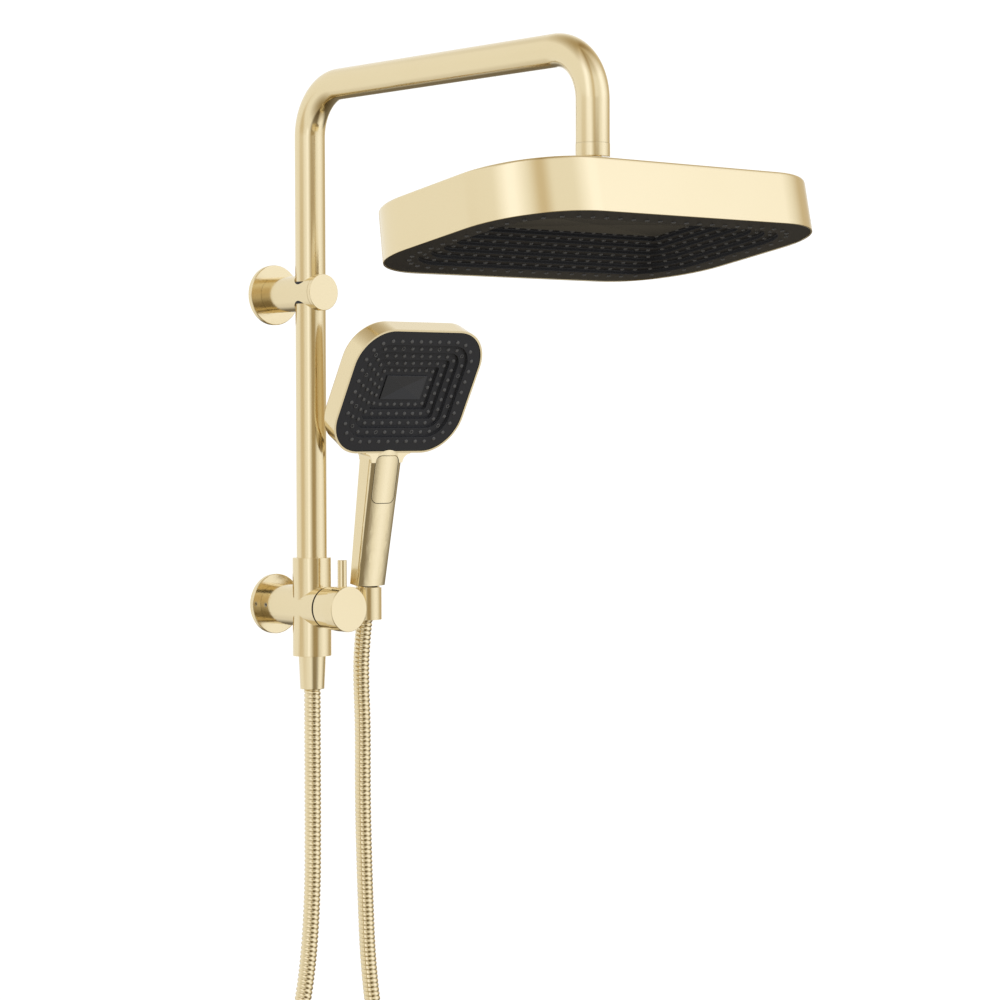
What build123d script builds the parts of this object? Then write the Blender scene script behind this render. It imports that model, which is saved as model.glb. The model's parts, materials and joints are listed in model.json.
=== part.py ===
"""Rainfall shower column: riser, diverter tee, overhead spray, hand spray and hose.

Frame: origin at the centre of the lower rose's back face, on the wall. +X runs along
the wall, -Y points out of the wall into the shower, +Z is up. Millimetres.
"""

import math
import os

from build123d import *

os.makedirs("parts", exist_ok=True)

# ---------------------------------------------------------------- driving dimensions
TUBE_D = 25.0  # riser tube outside diameter
TUBE_WALL = 1.2
STANDOFF = 52.6  # wall to the riser's axis
BRACKET_RISE = 258.6  # lower wall fixing to upper wall fixing
ARM_RISE = 426.4  # lower wall fixing to the arm's axis
ARM_REACH = 338.9  # riser axis to down-tube axis
BEND_R = 40.0  # centreline radius of both bends
DOWN_TUBE_END = 354.8  # height at which the down tube meets the swivel

ROSE_R = 25.0
ROSE_T = 4.35
ROSE_CHAMFER = 0.4
UNION_R = 13.0  # wall union's head
UNION_HEAD = 13.0
THREAD_R = 10.48  # G1/2 thread
THREAD_L = 12.0
SPIGOT_R = 9.5
SPIGOT_END = 36.0

TEE_R = 15.9  # vertical sleeve
TEE_HALF = 40.5
CROSS_R = 16.9  # horizontal barrel
CROSS_END = 74.1
SOCKET_FLOOR = 14.0  # foot of the riser inside the sleeve
RISER_SEALS = (20.0, 26.0)  # heights, and distances from the wall, of the seals
UNION_SEALS = (20.0, 27.0)
CARTRIDGE_SEALS = (43.5, 62.5)
CHAMBER_R = 12.5  # cartridge chamber
CHAMBER_START = 40.0
WATERWAY_R = 7.5

KNOB_START = 75.0
KNOB_END = 102.2
KNOB_BACK_R = 17.2
KNOB_FRONT_R = 18.5
LEVER_R = 3.7
LEVER_OUT = 93.3  # lever's distance from the wall
LEVER_TOP = 39.9
KNOB_STEM_R = 4.0

BRACKET_R = 14.8
BRACKET_FRONT = 70.4
CAP_T = 3.4
PLATE_R = 21.5
PLATE_T = 3.0
SCREW_PITCH = 28.0  # two wall screws
SCREW_HOLE_R = 2.6

NUT_L = 27.4  # both cone nuts of the hose
TEE_NUT = dict(foot=9.9, top=11.2, thread=9.5)  # radii of the nut under the tee
HANDSET_NUT = dict(foot=8.7, top=9.9, thread=8.2)  # and of the nut in the holder
HOSE_R = 6.9
HOSE_BORE_R = 4.5

CUP_X = 57.2  # hand-spray holder, sideways from the riser
CUP_R = 13.0
CUP_HALF = 13.5
CUP_SLOT = 15.0
HANDLE_LEAN = 9.8  # degrees forward from upright

HEAD_TILT = 9.75  # degrees, front edge up
PIVOT_RISE = 330.0  # ball centre height
FACE_DROP = 53.0  # ball centre to the overhead's rim plane
HEAD_HALF = (158.9, 100.8)
HEAD_CORNER = 67.7
HEAD_H = 38.7
HEAD_DRAFT = 1.6
HEAD_WALL = 2.0
BALL_R = 11.0
SOCKET_R = 12.1

SPRAY_HALF = (67.3, 57.1)
SPRAY_CORNER = 33.6
SPRAY_T = 19.5
SPRAY_PITCH = 28.4  # degrees the hand spray's face looks down
SPRAY_CENTRE = (57.95, 176.6)  # out from the riser axis, and height

# Stepped dishes: lip width, plate thickness, first step's inset from the outer edge, step
# pitch, step depth and number of steps; then the insets of the outermost ring of nozzles
# and of the soft mat's rim, and the nozzles in each ring from the outside in.
HEAD_DISH = dict(lip=1.45, thick=2.0, rim=25.3, pitch=9.65, drop=2.9, steps=6)
HEAD_DISH |= dict(ring=19.0, seat=15.2)
HEAD_NOZZLES = (62, 58, 54, 50, 46, 42, 38)
SPRAY_DISH = dict(lip=1.9, thick=1.4, rim=14.7, pitch=7.6, drop=2.15, steps=4)
SPRAY_DISH |= dict(ring=10.9, seat=8.4)
SPRAY_NOZZLES = (38, 34, 30, 26, 22)
SCREW_R = 1.2
NOZZLE_R = 1.35
HOLE_R = 1.5
NOZZLE_PROUD = 0.9
MAT_T = 1.2
FACET_MARGIN = 8.6  # last step's edge to the centre insert
FACET_DEPTH = 0.8
FACET_TIP = 0.01  # share of the insert left flat at the bottom of its hollow

UP = (0, 0, 1)
OUT = (0, -1, 0)
RISER_Y = -STANDOFF
DROP_Y = -STANDOFF - ARM_REACH
COLUMN = (0, RISER_Y, 0)


def lean(angle):
    """Unit vector that leans out of the wall by an angle in degrees from upright."""
    return (0, -math.sin(math.radians(angle)), math.cos(math.radians(angle)))


def along(start, direction, distance):
    """Point at a distance from start in a direction."""
    return tuple(p + d * distance for p, d in zip(start, direction))


def turned(outline, base, axis, mode=Mode.ADD):
    """Revolve a closed (radius, height) outline about an axis through base."""
    normal = Vector(1, 0, 0).cross(Vector(*axis))
    with BuildSketch(Plane(origin=base, x_dir=(1, 0, 0), z_dir=normal)) as half_section:
        with BuildLine():
            Polyline(*outline, close=True)
        make_face()
    revolve(half_section.sketch, axis=Axis(base, axis), mode=mode)


def drum(radius, low, high, base, axis, mode=Mode.ADD):
    """Plain cylinder between two heights on an axis through base."""
    turned([(0, low), (radius, low), (radius, high), (0, high)], base, axis, mode)


def pipe(outer, inner, low, high, base, axis, mode=Mode.ADD):
    """Plain hollow cylinder between two heights on an axis through base."""
    turned([(inner, low), (outer, low), (outer, high), (inner, high)], base, axis, mode)


def o_ring(radius, section, height, base, axis):
    """Ring of round section about an axis through base."""
    normal = Vector(1, 0, 0).cross(Vector(*axis))
    with BuildSketch(Plane(origin=base, x_dir=(1, 0, 0), z_dir=normal)) as cross_section:
        with Locations((radius, height)):
            Circle(section)
    revolve(cross_section.sketch, axis=Axis(base, axis))


def slab(plane, half, corner, inset, low, high, mode=Mode.ADD, taper=0.0):
    """Rounded rectangle, inset from its half sizes, extruded between two depths."""
    size = (2 * (half[0] - inset), 2 * (half[1] - inset))
    with BuildSketch(plane.offset(low)) as outline:
        RectangleRounded(size[0], size[1], max(corner - inset, 2.0))
    extrude(outline.sketch, amount=high - low, taper=taper, mode=mode)


def dish_levels(dish):
    """Inset and depth of each tread, from the rim inwards."""
    yield dish["lip"], 0.0
    for step in range(dish["steps"]):
        yield dish["rim"] + step * dish["pitch"], (step + 1) * dish["drop"]


def stepped_shell(plane, half, corner, dish, edge, lift, thick, wall):
    """Stepped dish of even thickness; lift and wall move its front off the face's."""
    levels = list(dish_levels(dish))
    for inset, depth in levels:
        side = edge if depth == 0 else inset - wall
        low = 0.0 if depth == 0 else depth - dish["drop"]
        slab(plane, half, corner, side, low + lift, depth + lift + thick)
    for inset, depth in levels[1:]:
        front = inset - wall + thick
        slab(plane, half, corner, front, depth - dish["drop"] + lift, depth + lift, Mode.SUBTRACT)


def ring_places(half, corner, inset, count, shifted):
    """Evenly spaced places round a rounded rectangle, starting at the top's middle."""
    radius = max(corner - inset, 2.0)
    flat_x = half[0] - inset - radius
    flat_y = half[1] - inset - radius
    arc = radius * math.pi / 2
    quarter = flat_x + arc + flat_y
    for index in range(count):
        run = (index + (0.5 if shifted else 0.0)) * 4 * quarter / count
        lap, rest = divmod(run, 2 * quarter)
        mirrored = rest > quarter
        rest = 2 * quarter - rest if mirrored else rest
        if rest <= flat_x:
            x, y = rest, flat_y + radius
        elif rest <= flat_x + arc:
            turn = (rest - flat_x) / radius
            x = flat_x + radius * math.sin(turn)
            y = flat_y + radius * math.cos(turn)
        else:
            x, y = flat_x + radius, flat_y - (rest - flat_x - arc)
        y = -y if mirrored else y
        yield (-x, -y) if lap else (x, y)


def nozzle_rings(plane, half, corner, dish, counts, radius, low, high, mode):
    """One round peg or hole per nozzle on every tread of a stepped dish."""
    for ring, count in enumerate(counts):
        depth = ring * dish["drop"]
        inset = dish["rim"] + (ring - 0.5) * dish["pitch"] if ring else dish["ring"]
        with BuildSketch(plane.offset(depth + low)) as pegs:
            with Locations(*ring_places(half, corner, inset, count, ring % 2 == 0)):
                Circle(radius)
        extrude(pegs.sketch, amount=high - low, mode=mode)


def facet_block(plane, half, corner, dish, thick):
    """Centre insert with a shallow four-sided hollow."""
    inset = dish["rim"] + dish["steps"] * dish["pitch"] - dish["pitch"]
    size_x = 2 * (half[0] - inset - FACET_MARGIN)
    size_y = 2 * (half[1] - inset - FACET_MARGIN)
    depth = dish["steps"] * dish["drop"]
    with BuildSketch(plane.offset(depth - thick)) as base:
        Rectangle(size_x, size_y)
    extrude(base.sketch, amount=thick)
    with BuildSketch(plane.offset(depth - thick + FACET_DEPTH)) as tip:
        Rectangle(size_x * FACET_TIP, size_y * FACET_TIP)
    loft([base.sketch.face(), tip.sketch.face()], mode=Mode.SUBTRACT)


def finish(builder, label):
    """Label a finished piece and write it."""
    builder.part.label = label
    export_step(builder.part, f"parts/{label}.step")


def outer_rim(builder):
    """Outer edge of a round piece's front, the side away from the wall."""
    front = builder.edges().filter_by(GeomType.CIRCLE).group_by(Axis.Y)[0]
    return front.sort_by(SortBy.RADIUS)[-1]


# ---------------------------------------------------------------- upper wall bracket
UPPER = (0, 0, BRACKET_RISE)
BUSH_R = 13.2  # hole for the riser and its bush
BUSH_HALF = 9.0
STUD_R = 9.0
STUD_END = 24.0
CLAMP_OUT = 14.0  # clamping screw's distance from the wall
SET_SCREW_R = 2.0
HEX_R = 1.15  # corner radius of a set screw's socket

with BuildPart() as wall_plate:
    drum(PLATE_R, 0, PLATE_T, UPPER, OUT)
    drum(STUD_R, PLATE_T, STUD_END, UPPER, OUT)
    with BuildSketch(Plane.XZ):
        with Locations((0, BRACKET_RISE)):
            with GridLocations(SCREW_PITCH, 0, 2, 1):
                Circle(SCREW_HOLE_R)
    extrude(amount=PLATE_T, mode=Mode.SUBTRACT)
finish(wall_plate, "upper_wall_plate")

with BuildPart() as upper_rose:
    drum(ROSE_R, 0, ROSE_T, UPPER, OUT)
    drum(PLATE_R + 0.1, 0, PLATE_T + 0.05, UPPER, OUT, Mode.SUBTRACT)
    drum(STUD_R + 0.1, 0, ROSE_T, UPPER, OUT, Mode.SUBTRACT)
    chamfer(outer_rim(upper_rose), ROSE_CHAMFER)
finish(upper_rose, "upper_rose")

with BuildPart() as bracket_arm:
    drum(BRACKET_R, ROSE_T + 0.05, BRACKET_FRONT - CAP_T, UPPER, OUT)
    drum(STUD_R + 0.05, ROSE_T, STUD_END + 0.2, UPPER, OUT, Mode.SUBTRACT)
    with BuildSketch(Plane.XY.offset(BRACKET_RISE - BRACKET_R - 1)):
        with Locations((0, RISER_Y)):
            Circle(BUSH_R)
    extrude(amount=2 * BRACKET_R + 2, mode=Mode.SUBTRACT)
    drum(SET_SCREW_R, -BRACKET_R - 1, 0, (0, -CLAMP_OUT, BRACKET_RISE), UP, Mode.SUBTRACT)
finish(bracket_arm, "bracket_arm")

with BuildPart() as bracket_cap:
    drum(BRACKET_R, BRACKET_FRONT - CAP_T + 0.05, BRACKET_FRONT, UPPER, OUT)
    fillet(bracket_cap.edges().group_by(Axis.Y)[0], 0.5)
finish(bracket_cap, "bracket_cap")

with BuildPart() as bracket_bush:
    pipe(BUSH_R - 0.02, TUBE_D / 2 + 0.03, -BUSH_HALF, BUSH_HALF, (0, RISER_Y, BRACKET_RISE), UP)
finish(bracket_bush, "bracket_bush")

with BuildPart() as bracket_grub_screw:
    drum(SET_SCREW_R - 0.02, -BRACKET_R + 0.3, -STUD_R - 0.05, (0, -CLAMP_OUT, BRACKET_RISE), UP)
    with BuildSketch(Plane.XY.offset(BRACKET_RISE - BRACKET_R + 0.3)):
        with Locations((0, -CLAMP_OUT)):
            RegularPolygon(HEX_R, 6)
    extrude(amount=2.5, mode=Mode.SUBTRACT)
finish(bracket_grub_screw, "bracket_grub_screw")

# ---------------------------------------------------------------- riser tube
with BuildPart() as riser_tube:
    with BuildLine():
        FilletPolyline(
            (0, RISER_Y, SOCKET_FLOOR),
            (0, RISER_Y, ARM_RISE),
            (0, DROP_Y, ARM_RISE),
            (0, DROP_Y, DOWN_TUBE_END),
            radius=BEND_R,
        )
    with BuildSketch(Plane.XY.offset(SOCKET_FLOOR)):
        with Locations((0, RISER_Y)):
            Circle(TUBE_D / 2)
            Circle(TUBE_D / 2 - TUBE_WALL, mode=Mode.SUBTRACT)
    sweep()
finish(riser_tube, "riser_tube")

with BuildPart() as riser_seals:
    for height in RISER_SEALS:
        o_ring(TUBE_D / 2 + 0.88, 0.8, height, COLUMN, UP)
finish(riser_seals, "riser_seals")

# ---------------------------------------------------------------- lower wall fixing
LOWER = (0, 0, 0)

with BuildPart() as lower_rose:
    pipe(ROSE_R, UNION_R + 0.1, 0, ROSE_T, LOWER, OUT)
    chamfer(outer_rim(lower_rose), ROSE_CHAMFER)
finish(lower_rose, "lower_rose")

with BuildPart() as inlet_union:
    drum(UNION_R, 0, UNION_HEAD, LOWER, OUT)
    drum(SPIGOT_R, UNION_HEAD, SPIGOT_END, LOWER, OUT)
    drum(THREAD_R, 0, THREAD_L, LOWER, OUT, Mode.SUBTRACT)
    drum(6.0, THREAD_L, SPIGOT_END, LOWER, OUT, Mode.SUBTRACT)
    for place in UNION_SEALS:
        pipe(SPIGOT_R + 1, SPIGOT_R - 1.4, place - 0.9, place + 0.9, LOWER, OUT, Mode.SUBTRACT)
finish(inlet_union, "inlet_union")

with BuildPart() as union_seals:
    for place in UNION_SEALS:
        o_ring(SPIGOT_R - 0.7, 0.68, place, LOWER, OUT)
finish(union_seals, "union_seals")

# ---------------------------------------------------------------- diverter tee
GRUB_OUT = 11.1  # set screw's distance from the wall
NIPPLE_TOP = -26.0
NIPPLE_FOOT = -49.5

with BuildPart() as tee_body:
    drum(CROSS_R, ROSE_T + 0.05, CROSS_END, LOWER, OUT)
    drum(TEE_R, -TEE_HALF, TEE_HALF, COLUMN, UP)
    drum(UNION_R + 0.05, 0, UNION_HEAD + 0.2, LOWER, OUT, Mode.SUBTRACT)
    drum(SPIGOT_R + 0.05, 0, SPIGOT_END + 0.2, LOWER, OUT, Mode.SUBTRACT)
    drum(6.0, SPIGOT_END, CHAMBER_START + 1, LOWER, OUT, Mode.SUBTRACT)
    drum(CHAMBER_R, CHAMBER_START, CROSS_END, LOWER, OUT, Mode.SUBTRACT)
    drum(WATERWAY_R, NIPPLE_TOP, SOCKET_FLOOR, COLUMN, UP, Mode.SUBTRACT)
    drum(TUBE_D / 2 + 0.05, SOCKET_FLOOR, TEE_HALF, COLUMN, UP, Mode.SUBTRACT)
    drum(TEE_NUT["thread"] + 0.02, -TEE_HALF, NIPPLE_TOP, COLUMN, UP, Mode.SUBTRACT)
    for height in RISER_SEALS:
        pipe(TUBE_D / 2 + 1.75, TUBE_D / 2, height - 0.9, height + 0.9, COLUMN, UP, Mode.SUBTRACT)
    with BuildSketch(Plane.YZ.offset(-CROSS_R - 1)):
        with Locations((-GRUB_OUT, 0)):
            Circle(2.0)
    extrude(amount=6.0, mode=Mode.SUBTRACT)
finish(tee_body, "tee_body")

with BuildPart() as tee_grub_screw:
    with BuildSketch(Plane.YZ.offset(-CROSS_R + 0.5)):
        with Locations((-GRUB_OUT, 0)):
            Circle(1.98)
    extrude(amount=CROSS_R - 0.5 - UNION_R - 0.05)
    with BuildSketch(Plane.YZ.offset(-CROSS_R + 0.5)):
        with Locations((-GRUB_OUT, 0)):
            RegularPolygon(HEX_R, 6)
    extrude(amount=2.0, mode=Mode.SUBTRACT)
finish(tee_grub_screw, "tee_grub_screw")

CART_END = 66.0
ROTOR_R = 8.0
PORT_R = 4.5
GLAND_END = 73.6

with BuildPart() as cartridge_sleeve:
    pipe(CHAMBER_R - 0.05, ROTOR_R + 0.05, CHAMBER_START + 0.1, CART_END, LOWER, OUT)
    drum(PORT_R, -CHAMBER_R, CHAMBER_R, COLUMN, UP, Mode.SUBTRACT)
    for place in CARTRIDGE_SEALS:
        pipe(CHAMBER_R + 1, CHAMBER_R - 1.35, place - 0.85, place + 0.85, LOWER, OUT, Mode.SUBTRACT)
finish(cartridge_sleeve, "cartridge_sleeve")

with BuildPart() as cartridge_seals:
    for place in CARTRIDGE_SEALS:
        o_ring(CHAMBER_R - 0.7, 0.62, place, LOWER, OUT)
finish(cartridge_seals, "cartridge_seals")

with BuildPart() as gland_nut:
    pipe(CHAMBER_R - 0.05, KNOB_STEM_R + 0.05, CART_END + 0.1, GLAND_END, LOWER, OUT)
    with BuildSketch(Plane.XZ.offset(GLAND_END)):
        with GridLocations(17.0, 0, 2, 1):
            Circle(1.3)
    extrude(amount=-3.0, mode=Mode.SUBTRACT)
finish(gland_nut, "gland_nut")

# The rotor's side port feeds one outlet at a time, and both when it points level.
with BuildPart() as diverter_rotor:
    drum(ROTOR_R, CHAMBER_START + 0.6, CART_END - 0.1, LOWER, OUT)
    drum(KNOB_STEM_R, CART_END - 0.1, 92.0, LOWER, OUT)
    drum(5.5, CHAMBER_START, 58.0, LOWER, OUT, Mode.SUBTRACT)
    drum(PORT_R, 0, ROTOR_R + 1, COLUMN, UP, Mode.SUBTRACT)
    with BuildSketch(Plane.XZ.offset(82.0)):
        with Locations((0, -KNOB_STEM_R)):
            Rectangle(2 * KNOB_STEM_R, 1.6)
    extrude(amount=10.0, mode=Mode.SUBTRACT)
finish(diverter_rotor, "diverter_rotor")

with BuildPart() as knob_spacer:
    pipe(16.2, 13.4, CROSS_END + 0.02, KNOB_START - 0.1, LOWER, OUT)
finish(knob_spacer, "knob_spacer")

with BuildPart() as knob:
    turned(
        [
            (0, KNOB_START),
            (KNOB_BACK_R, KNOB_START),
            (KNOB_BACK_R, KNOB_START + 1.2),
            (KNOB_FRONT_R, KNOB_START + 16.0),
            (KNOB_FRONT_R, KNOB_END),
            (0, KNOB_END),
        ],
        LOWER,
        OUT,
    )
    fillet(knob.edges().group_by(Axis.Y)[0], 0.5)
    pipe(15.2, 7.0, KNOB_START, 88.0, LOWER, OUT, Mode.SUBTRACT)
    drum(KNOB_STEM_R + 0.02, KNOB_START, 92.2, LOWER, OUT, Mode.SUBTRACT)
    drum(LEVER_R - 0.7, 10.0, KNOB_FRONT_R + 1, (0, -LEVER_OUT, 0), UP, Mode.SUBTRACT)
    drum(2.0, -KNOB_FRONT_R - 1, -3.0, (0, -85.0, 0), UP, Mode.SUBTRACT)
finish(knob, "diverter_knob")

with BuildPart() as knob_grub_screw:
    drum(1.98, -13.0, -KNOB_STEM_R + 0.7, (0, -85.0, 0), UP)
    with BuildSketch(Plane.XY.offset(-13.0)):
        with Locations((0, -85.0)):
            RegularPolygon(HEX_R, 6)
    extrude(amount=2.5, mode=Mode.SUBTRACT)
finish(knob_grub_screw, "knob_grub_screw")

LEVER_BASE = (0, -LEVER_OUT, 0)

with BuildPart() as lever_pin:
    drum(LEVER_R - 0.75, 10.3, KNOB_FRONT_R + 0.1, LEVER_BASE, UP)
    drum(LEVER_R, KNOB_FRONT_R + 0.05, LEVER_TOP, LEVER_BASE, UP)
    chamfer(lever_pin.edges().group_by(Axis.Z)[-1], 0.4)
finish(lever_pin, "lever_pin")

with BuildPart() as outlet_nipple:
    pipe(TEE_NUT["thread"], 6.0, NIPPLE_FOOT, NIPPLE_TOP, COLUMN, UP)
finish(outlet_nipple, "outlet_nipple")

# ---------------------------------------------------------------- hand-spray holder
CUP = (CUP_X, RISER_Y, 0)
HANDLE_AXIS = lean(HANDLE_LEAN)
NUT_TOP = 14.2  # cone nut's top, along the hand spray's axis
NUT_FOOT = NUT_TOP - NUT_L
LINER_T = 0.6
LINER_TOP = 3.0  # the liner lines only the lower part of the cup
HOLDER_ARM_R = 8.5


def cone(gap, low, high):
    """Outline of the cone nut grown by a gap, between two heights on its axis."""
    slope = (HANDSET_NUT["top"] - HANDSET_NUT["foot"]) / NUT_L
    at_low = HANDSET_NUT["foot"] + (low - NUT_FOOT) * slope + gap
    at_high = HANDSET_NUT["foot"] + (high - NUT_FOOT) * slope + gap
    return [(0, low), (at_low, low), (at_high, high), (0, high)]


with BuildPart() as holder_cup:
    drum(CUP_R, -CUP_HALF, CUP_HALF, CUP, UP)
    with BuildSketch(Plane.YZ.offset(TEE_R - 2.0)):
        with Locations((RISER_Y, 0)):
            Circle(HOLDER_ARM_R)
    extrude(amount=CUP_X - CUP_R - TEE_R + 6.0)
    drum(TEE_R + 0.02, -TEE_HALF, TEE_HALF, COLUMN, UP, Mode.SUBTRACT)
    drum(CROSS_R + 0.02, 0, CROSS_END, LOWER, OUT, Mode.SUBTRACT)
    turned(cone(0.1, -CUP_HALF - 8, CUP_HALF + 8), CUP, HANDLE_AXIS, Mode.SUBTRACT)
    turned(cone(LINER_T + 0.05, -CUP_HALF - 8, LINER_TOP), CUP, HANDLE_AXIS, Mode.SUBTRACT)
    with BuildSketch(Plane.XY.offset(-CUP_HALF - 1)):
        with Locations((CUP_X + CUP_R, RISER_Y)):
            Rectangle(2 * CUP_R, CUP_SLOT)
    extrude(amount=2 * CUP_HALF + 2, mode=Mode.SUBTRACT)
finish(holder_cup, "holder_cup")

with BuildPart() as cup_liner:
    turned(cone(LINER_T, -CUP_HALF - 4, LINER_TOP - 0.05), CUP, HANDLE_AXIS)
    turned(cone(0.05, -CUP_HALF - 8, CUP_HALF + 8), CUP, HANDLE_AXIS, Mode.SUBTRACT)
    with BuildSketch(Plane.XY.offset(-CUP_HALF + 0.3)):
        with Locations((CUP_X, RISER_Y)):
            Circle(3 * CUP_R)
    extrude(amount=-20, mode=Mode.SUBTRACT)
    with BuildSketch(Plane.XY.offset(-CUP_HALF - 1)):
        with Locations((CUP_X + CUP_R, RISER_Y)):
            Rectangle(2 * CUP_R, CUP_SLOT + 0.4)
    extrude(amount=2 * CUP_HALF + 2, mode=Mode.SUBTRACT)
finish(cup_liner, "cup_liner")

# ---------------------------------------------------------------- hose and its fittings
LOWER_NUT_TOP = -TEE_HALF - 0.2
FERRULE_TAIL_R = 6.9
MOUTH_R = 7.0  # nut's small end, round the ferrule's tail
LEDGE = 12.0  # nut's inner ledge, from its small end
WASHER_BORE_R = 5.0


def cone_nut(radii, foot, base, axis):
    """Cone nut with its thread at the wide end."""
    top = foot + NUT_L
    step = foot + LEDGE
    thread = radii["thread"] + 0.05
    turned([(0, foot), (radii["foot"], foot), (radii["top"], top), (0, top)], base, axis)
    drum(thread, step, top, base, axis, Mode.SUBTRACT)
    drum(MOUTH_R, foot, step, base, axis, Mode.SUBTRACT)


def ferrule(radii, foot, base, axis):
    """Collar crimped on the hose; its shoulder sits on the nut's inner ledge."""
    ledge = foot + LEDGE + 0.05
    head = ledge + 3.0
    shoulder = radii["thread"] - 0.3
    outline = [(HOSE_BORE_R, foot), (FERRULE_TAIL_R, foot), (FERRULE_TAIL_R, ledge)]
    outline += [(shoulder, ledge), (shoulder, head), (HOSE_BORE_R, head)]
    turned(outline, base, axis)


LOWER_NUT_FOOT = LOWER_NUT_TOP - NUT_L
WASHER_FOOT = LEDGE + 3.1  # from the nut's small end
WASHER_T = 2.0

with BuildPart() as hose_nut_lower:
    cone_nut(TEE_NUT, LOWER_NUT_FOOT, COLUMN, UP)
finish(hose_nut_lower, "hose_nut_lower")

with BuildPart() as hose_ferrule_lower:
    ferrule(TEE_NUT, LOWER_NUT_FOOT, COLUMN, UP)
finish(hose_ferrule_lower, "hose_ferrule_lower")

with BuildPart() as hose_washer_lower:
    washer_foot = LOWER_NUT_FOOT + WASHER_FOOT
    pipe(TEE_NUT["thread"] - 0.6, WASHER_BORE_R, washer_foot, NIPPLE_FOOT - 0.05, COLUMN, UP)
finish(hose_washer_lower, "hose_washer_lower")

with BuildPart() as hose_nut_upper:
    cone_nut(HANDSET_NUT, NUT_FOOT, CUP, HANDLE_AXIS)
finish(hose_nut_upper, "hose_nut_upper")

with BuildPart() as hose_ferrule_upper:
    ferrule(HANDSET_NUT, NUT_FOOT, CUP, HANDLE_AXIS)
finish(hose_ferrule_upper, "hose_ferrule_upper")

with BuildPart() as hose_washer_upper:
    washer_foot = NUT_FOOT + WASHER_FOOT
    pipe(HANDSET_NUT["thread"] - 0.6, WASHER_BORE_R, washer_foot, washer_foot + WASHER_T, CUP, HANDLE_AXIS)
finish(hose_washer_upper, "hose_washer_upper")

# The hose hangs from the tee in a round-bottomed loop and climbs to the holder.
# Points are (X, distance out from the riser's axis, Z).
HOSE_END = along((CUP_X, 0, 0), (0, -HANDLE_AXIS[1], HANDLE_AXIS[2]), NUT_FOOT - 0.05)
HOSE_LAST = along(HOSE_END, (0, -HANDLE_AXIS[1], HANDLE_AXIS[2]), -24.0)
HOSE_ROUTE = [
    (0.0, 0.0, -68.1),
    (0.0, 0.0, -112.0),
    (-0.8, 1.0, -172.0),
    (-1.8, 1.6, -242.0),
    (-9.6, 3.0, -312.0),
    (-31.0, 6.0, -384.0),
    (-68.0, 9.0, -452.0),
    (-98.0, 12.0, -526.0),
    (-94.0, 14.0, -600.0),
    (-42.0, 14.0, -656.0),
    (34.0, 12.0, -671.0),
    (105.0, 8.0, -654.0),
    (146.0, 4.0, -600.0),
    (146.0, 0.0, -526.0),
    (112.0, -3.0, -452.0),
    (74.0, -5.0, -388.0),
    (62.6, -6.0, -312.0),
    (59.9, -6.6, -240.0),
    (57.6, -6.4, -166.0),
    (58.6, -6.8, -104.0),
    (57.6, -8.0, -64.0),
    HOSE_LAST,
    HOSE_END,
]


def route_radii(points):
    """Largest even arc at each corner: 0.45 of the shorter run over the half turn."""
    radii = []
    for before, here, after in zip(points, points[1:], points[2:]):
        first = Vector(*here) - Vector(*before)
        second = Vector(*after) - Vector(*here)
        half_turn = math.radians(first.get_angle(second)) / 2
        shorter = min(first.length, second.length)
        radii.append(0.45 * shorter / math.tan(half_turn))
    return radii


hose_points = [(x, RISER_Y - out, z) for x, out, z in HOSE_ROUTE]
hose_radii = route_radii(hose_points)
print("hose radii", [round(radius) for radius in hose_radii])

with BuildPart() as hose:
    with BuildLine() as hose_line:
        FilletPolyline(*hose_points, radius=hose_radii)
    with BuildSketch(Plane.XY.offset(LOWER_NUT_FOOT)):
        with Locations((0, RISER_Y)):
            Circle(HOSE_R)
            Circle(HOSE_BORE_R, mode=Mode.SUBTRACT)
    sweep()
hose_length = hose_line.wire().length
hose_section = math.pi * (HOSE_R**2 - HOSE_BORE_R**2)
hose_ratio = hose.part.volume / hose_length / hose_section
print("hose length", round(hose_length, 1), "volume ratio", round(hose_ratio, 4))
finish(hose, "hose")

# ---------------------------------------------------------------- swivel and overhead
PIVOT = (0, DROP_Y, PIVOT_RISE)
HEAD_UP = lean(-HEAD_TILT)
HEAD = Plane(origin=along(PIVOT, HEAD_UP, -FACE_DROP), x_dir=(1, 0, 0), z_dir=HEAD_UP)
HEAD_TOP = HEAD_H - FACE_DROP  # the shell's top, from the pivot
COLLAR_H = 9.8
NECK_R = 6.5
STEM_BORE_R = 3.5
BOWL_TOP = -3.0
BOSS_R = 13.6
NUT_R = 17.0

COLLAR_TOP = DOWN_TUBE_END - PIVOT_RISE - 0.05
SPIGOT_H = 14.0

with BuildPart() as ball_stem:
    drum(TUBE_D / 2 + 0.2, COLLAR_TOP - COLLAR_H, COLLAR_TOP, PIVOT, UP)
    drum(TUBE_D / 2 - TUBE_WALL - 0.05, COLLAR_TOP, COLLAR_TOP + SPIGOT_H, PIVOT, UP)
    drum(NECK_R, 5.0, COLLAR_TOP, PIVOT, UP)
    with Locations(PIVOT):
        Sphere(BALL_R)
    drum(STEM_BORE_R, -BALL_R, COLLAR_TOP, PIVOT, UP, Mode.SUBTRACT)
    drum(8.0, COLLAR_TOP, COLLAR_TOP + SPIGOT_H, PIVOT, UP, Mode.SUBTRACT)
finish(ball_stem, "ball_stem")

with BuildPart() as inlet_filter:
    drum(7.9, COLLAR_TOP + 0.05, COLLAR_TOP + 1.6, PIVOT, UP)
    with BuildSketch(Plane(origin=along(PIVOT, UP, COLLAR_TOP))):
        with PolarLocations(4.6, 8):
            Circle(1.2)
        Circle(1.6)
    extrude(amount=2.0, mode=Mode.SUBTRACT)
finish(inlet_filter, "inlet_filter")


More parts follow.
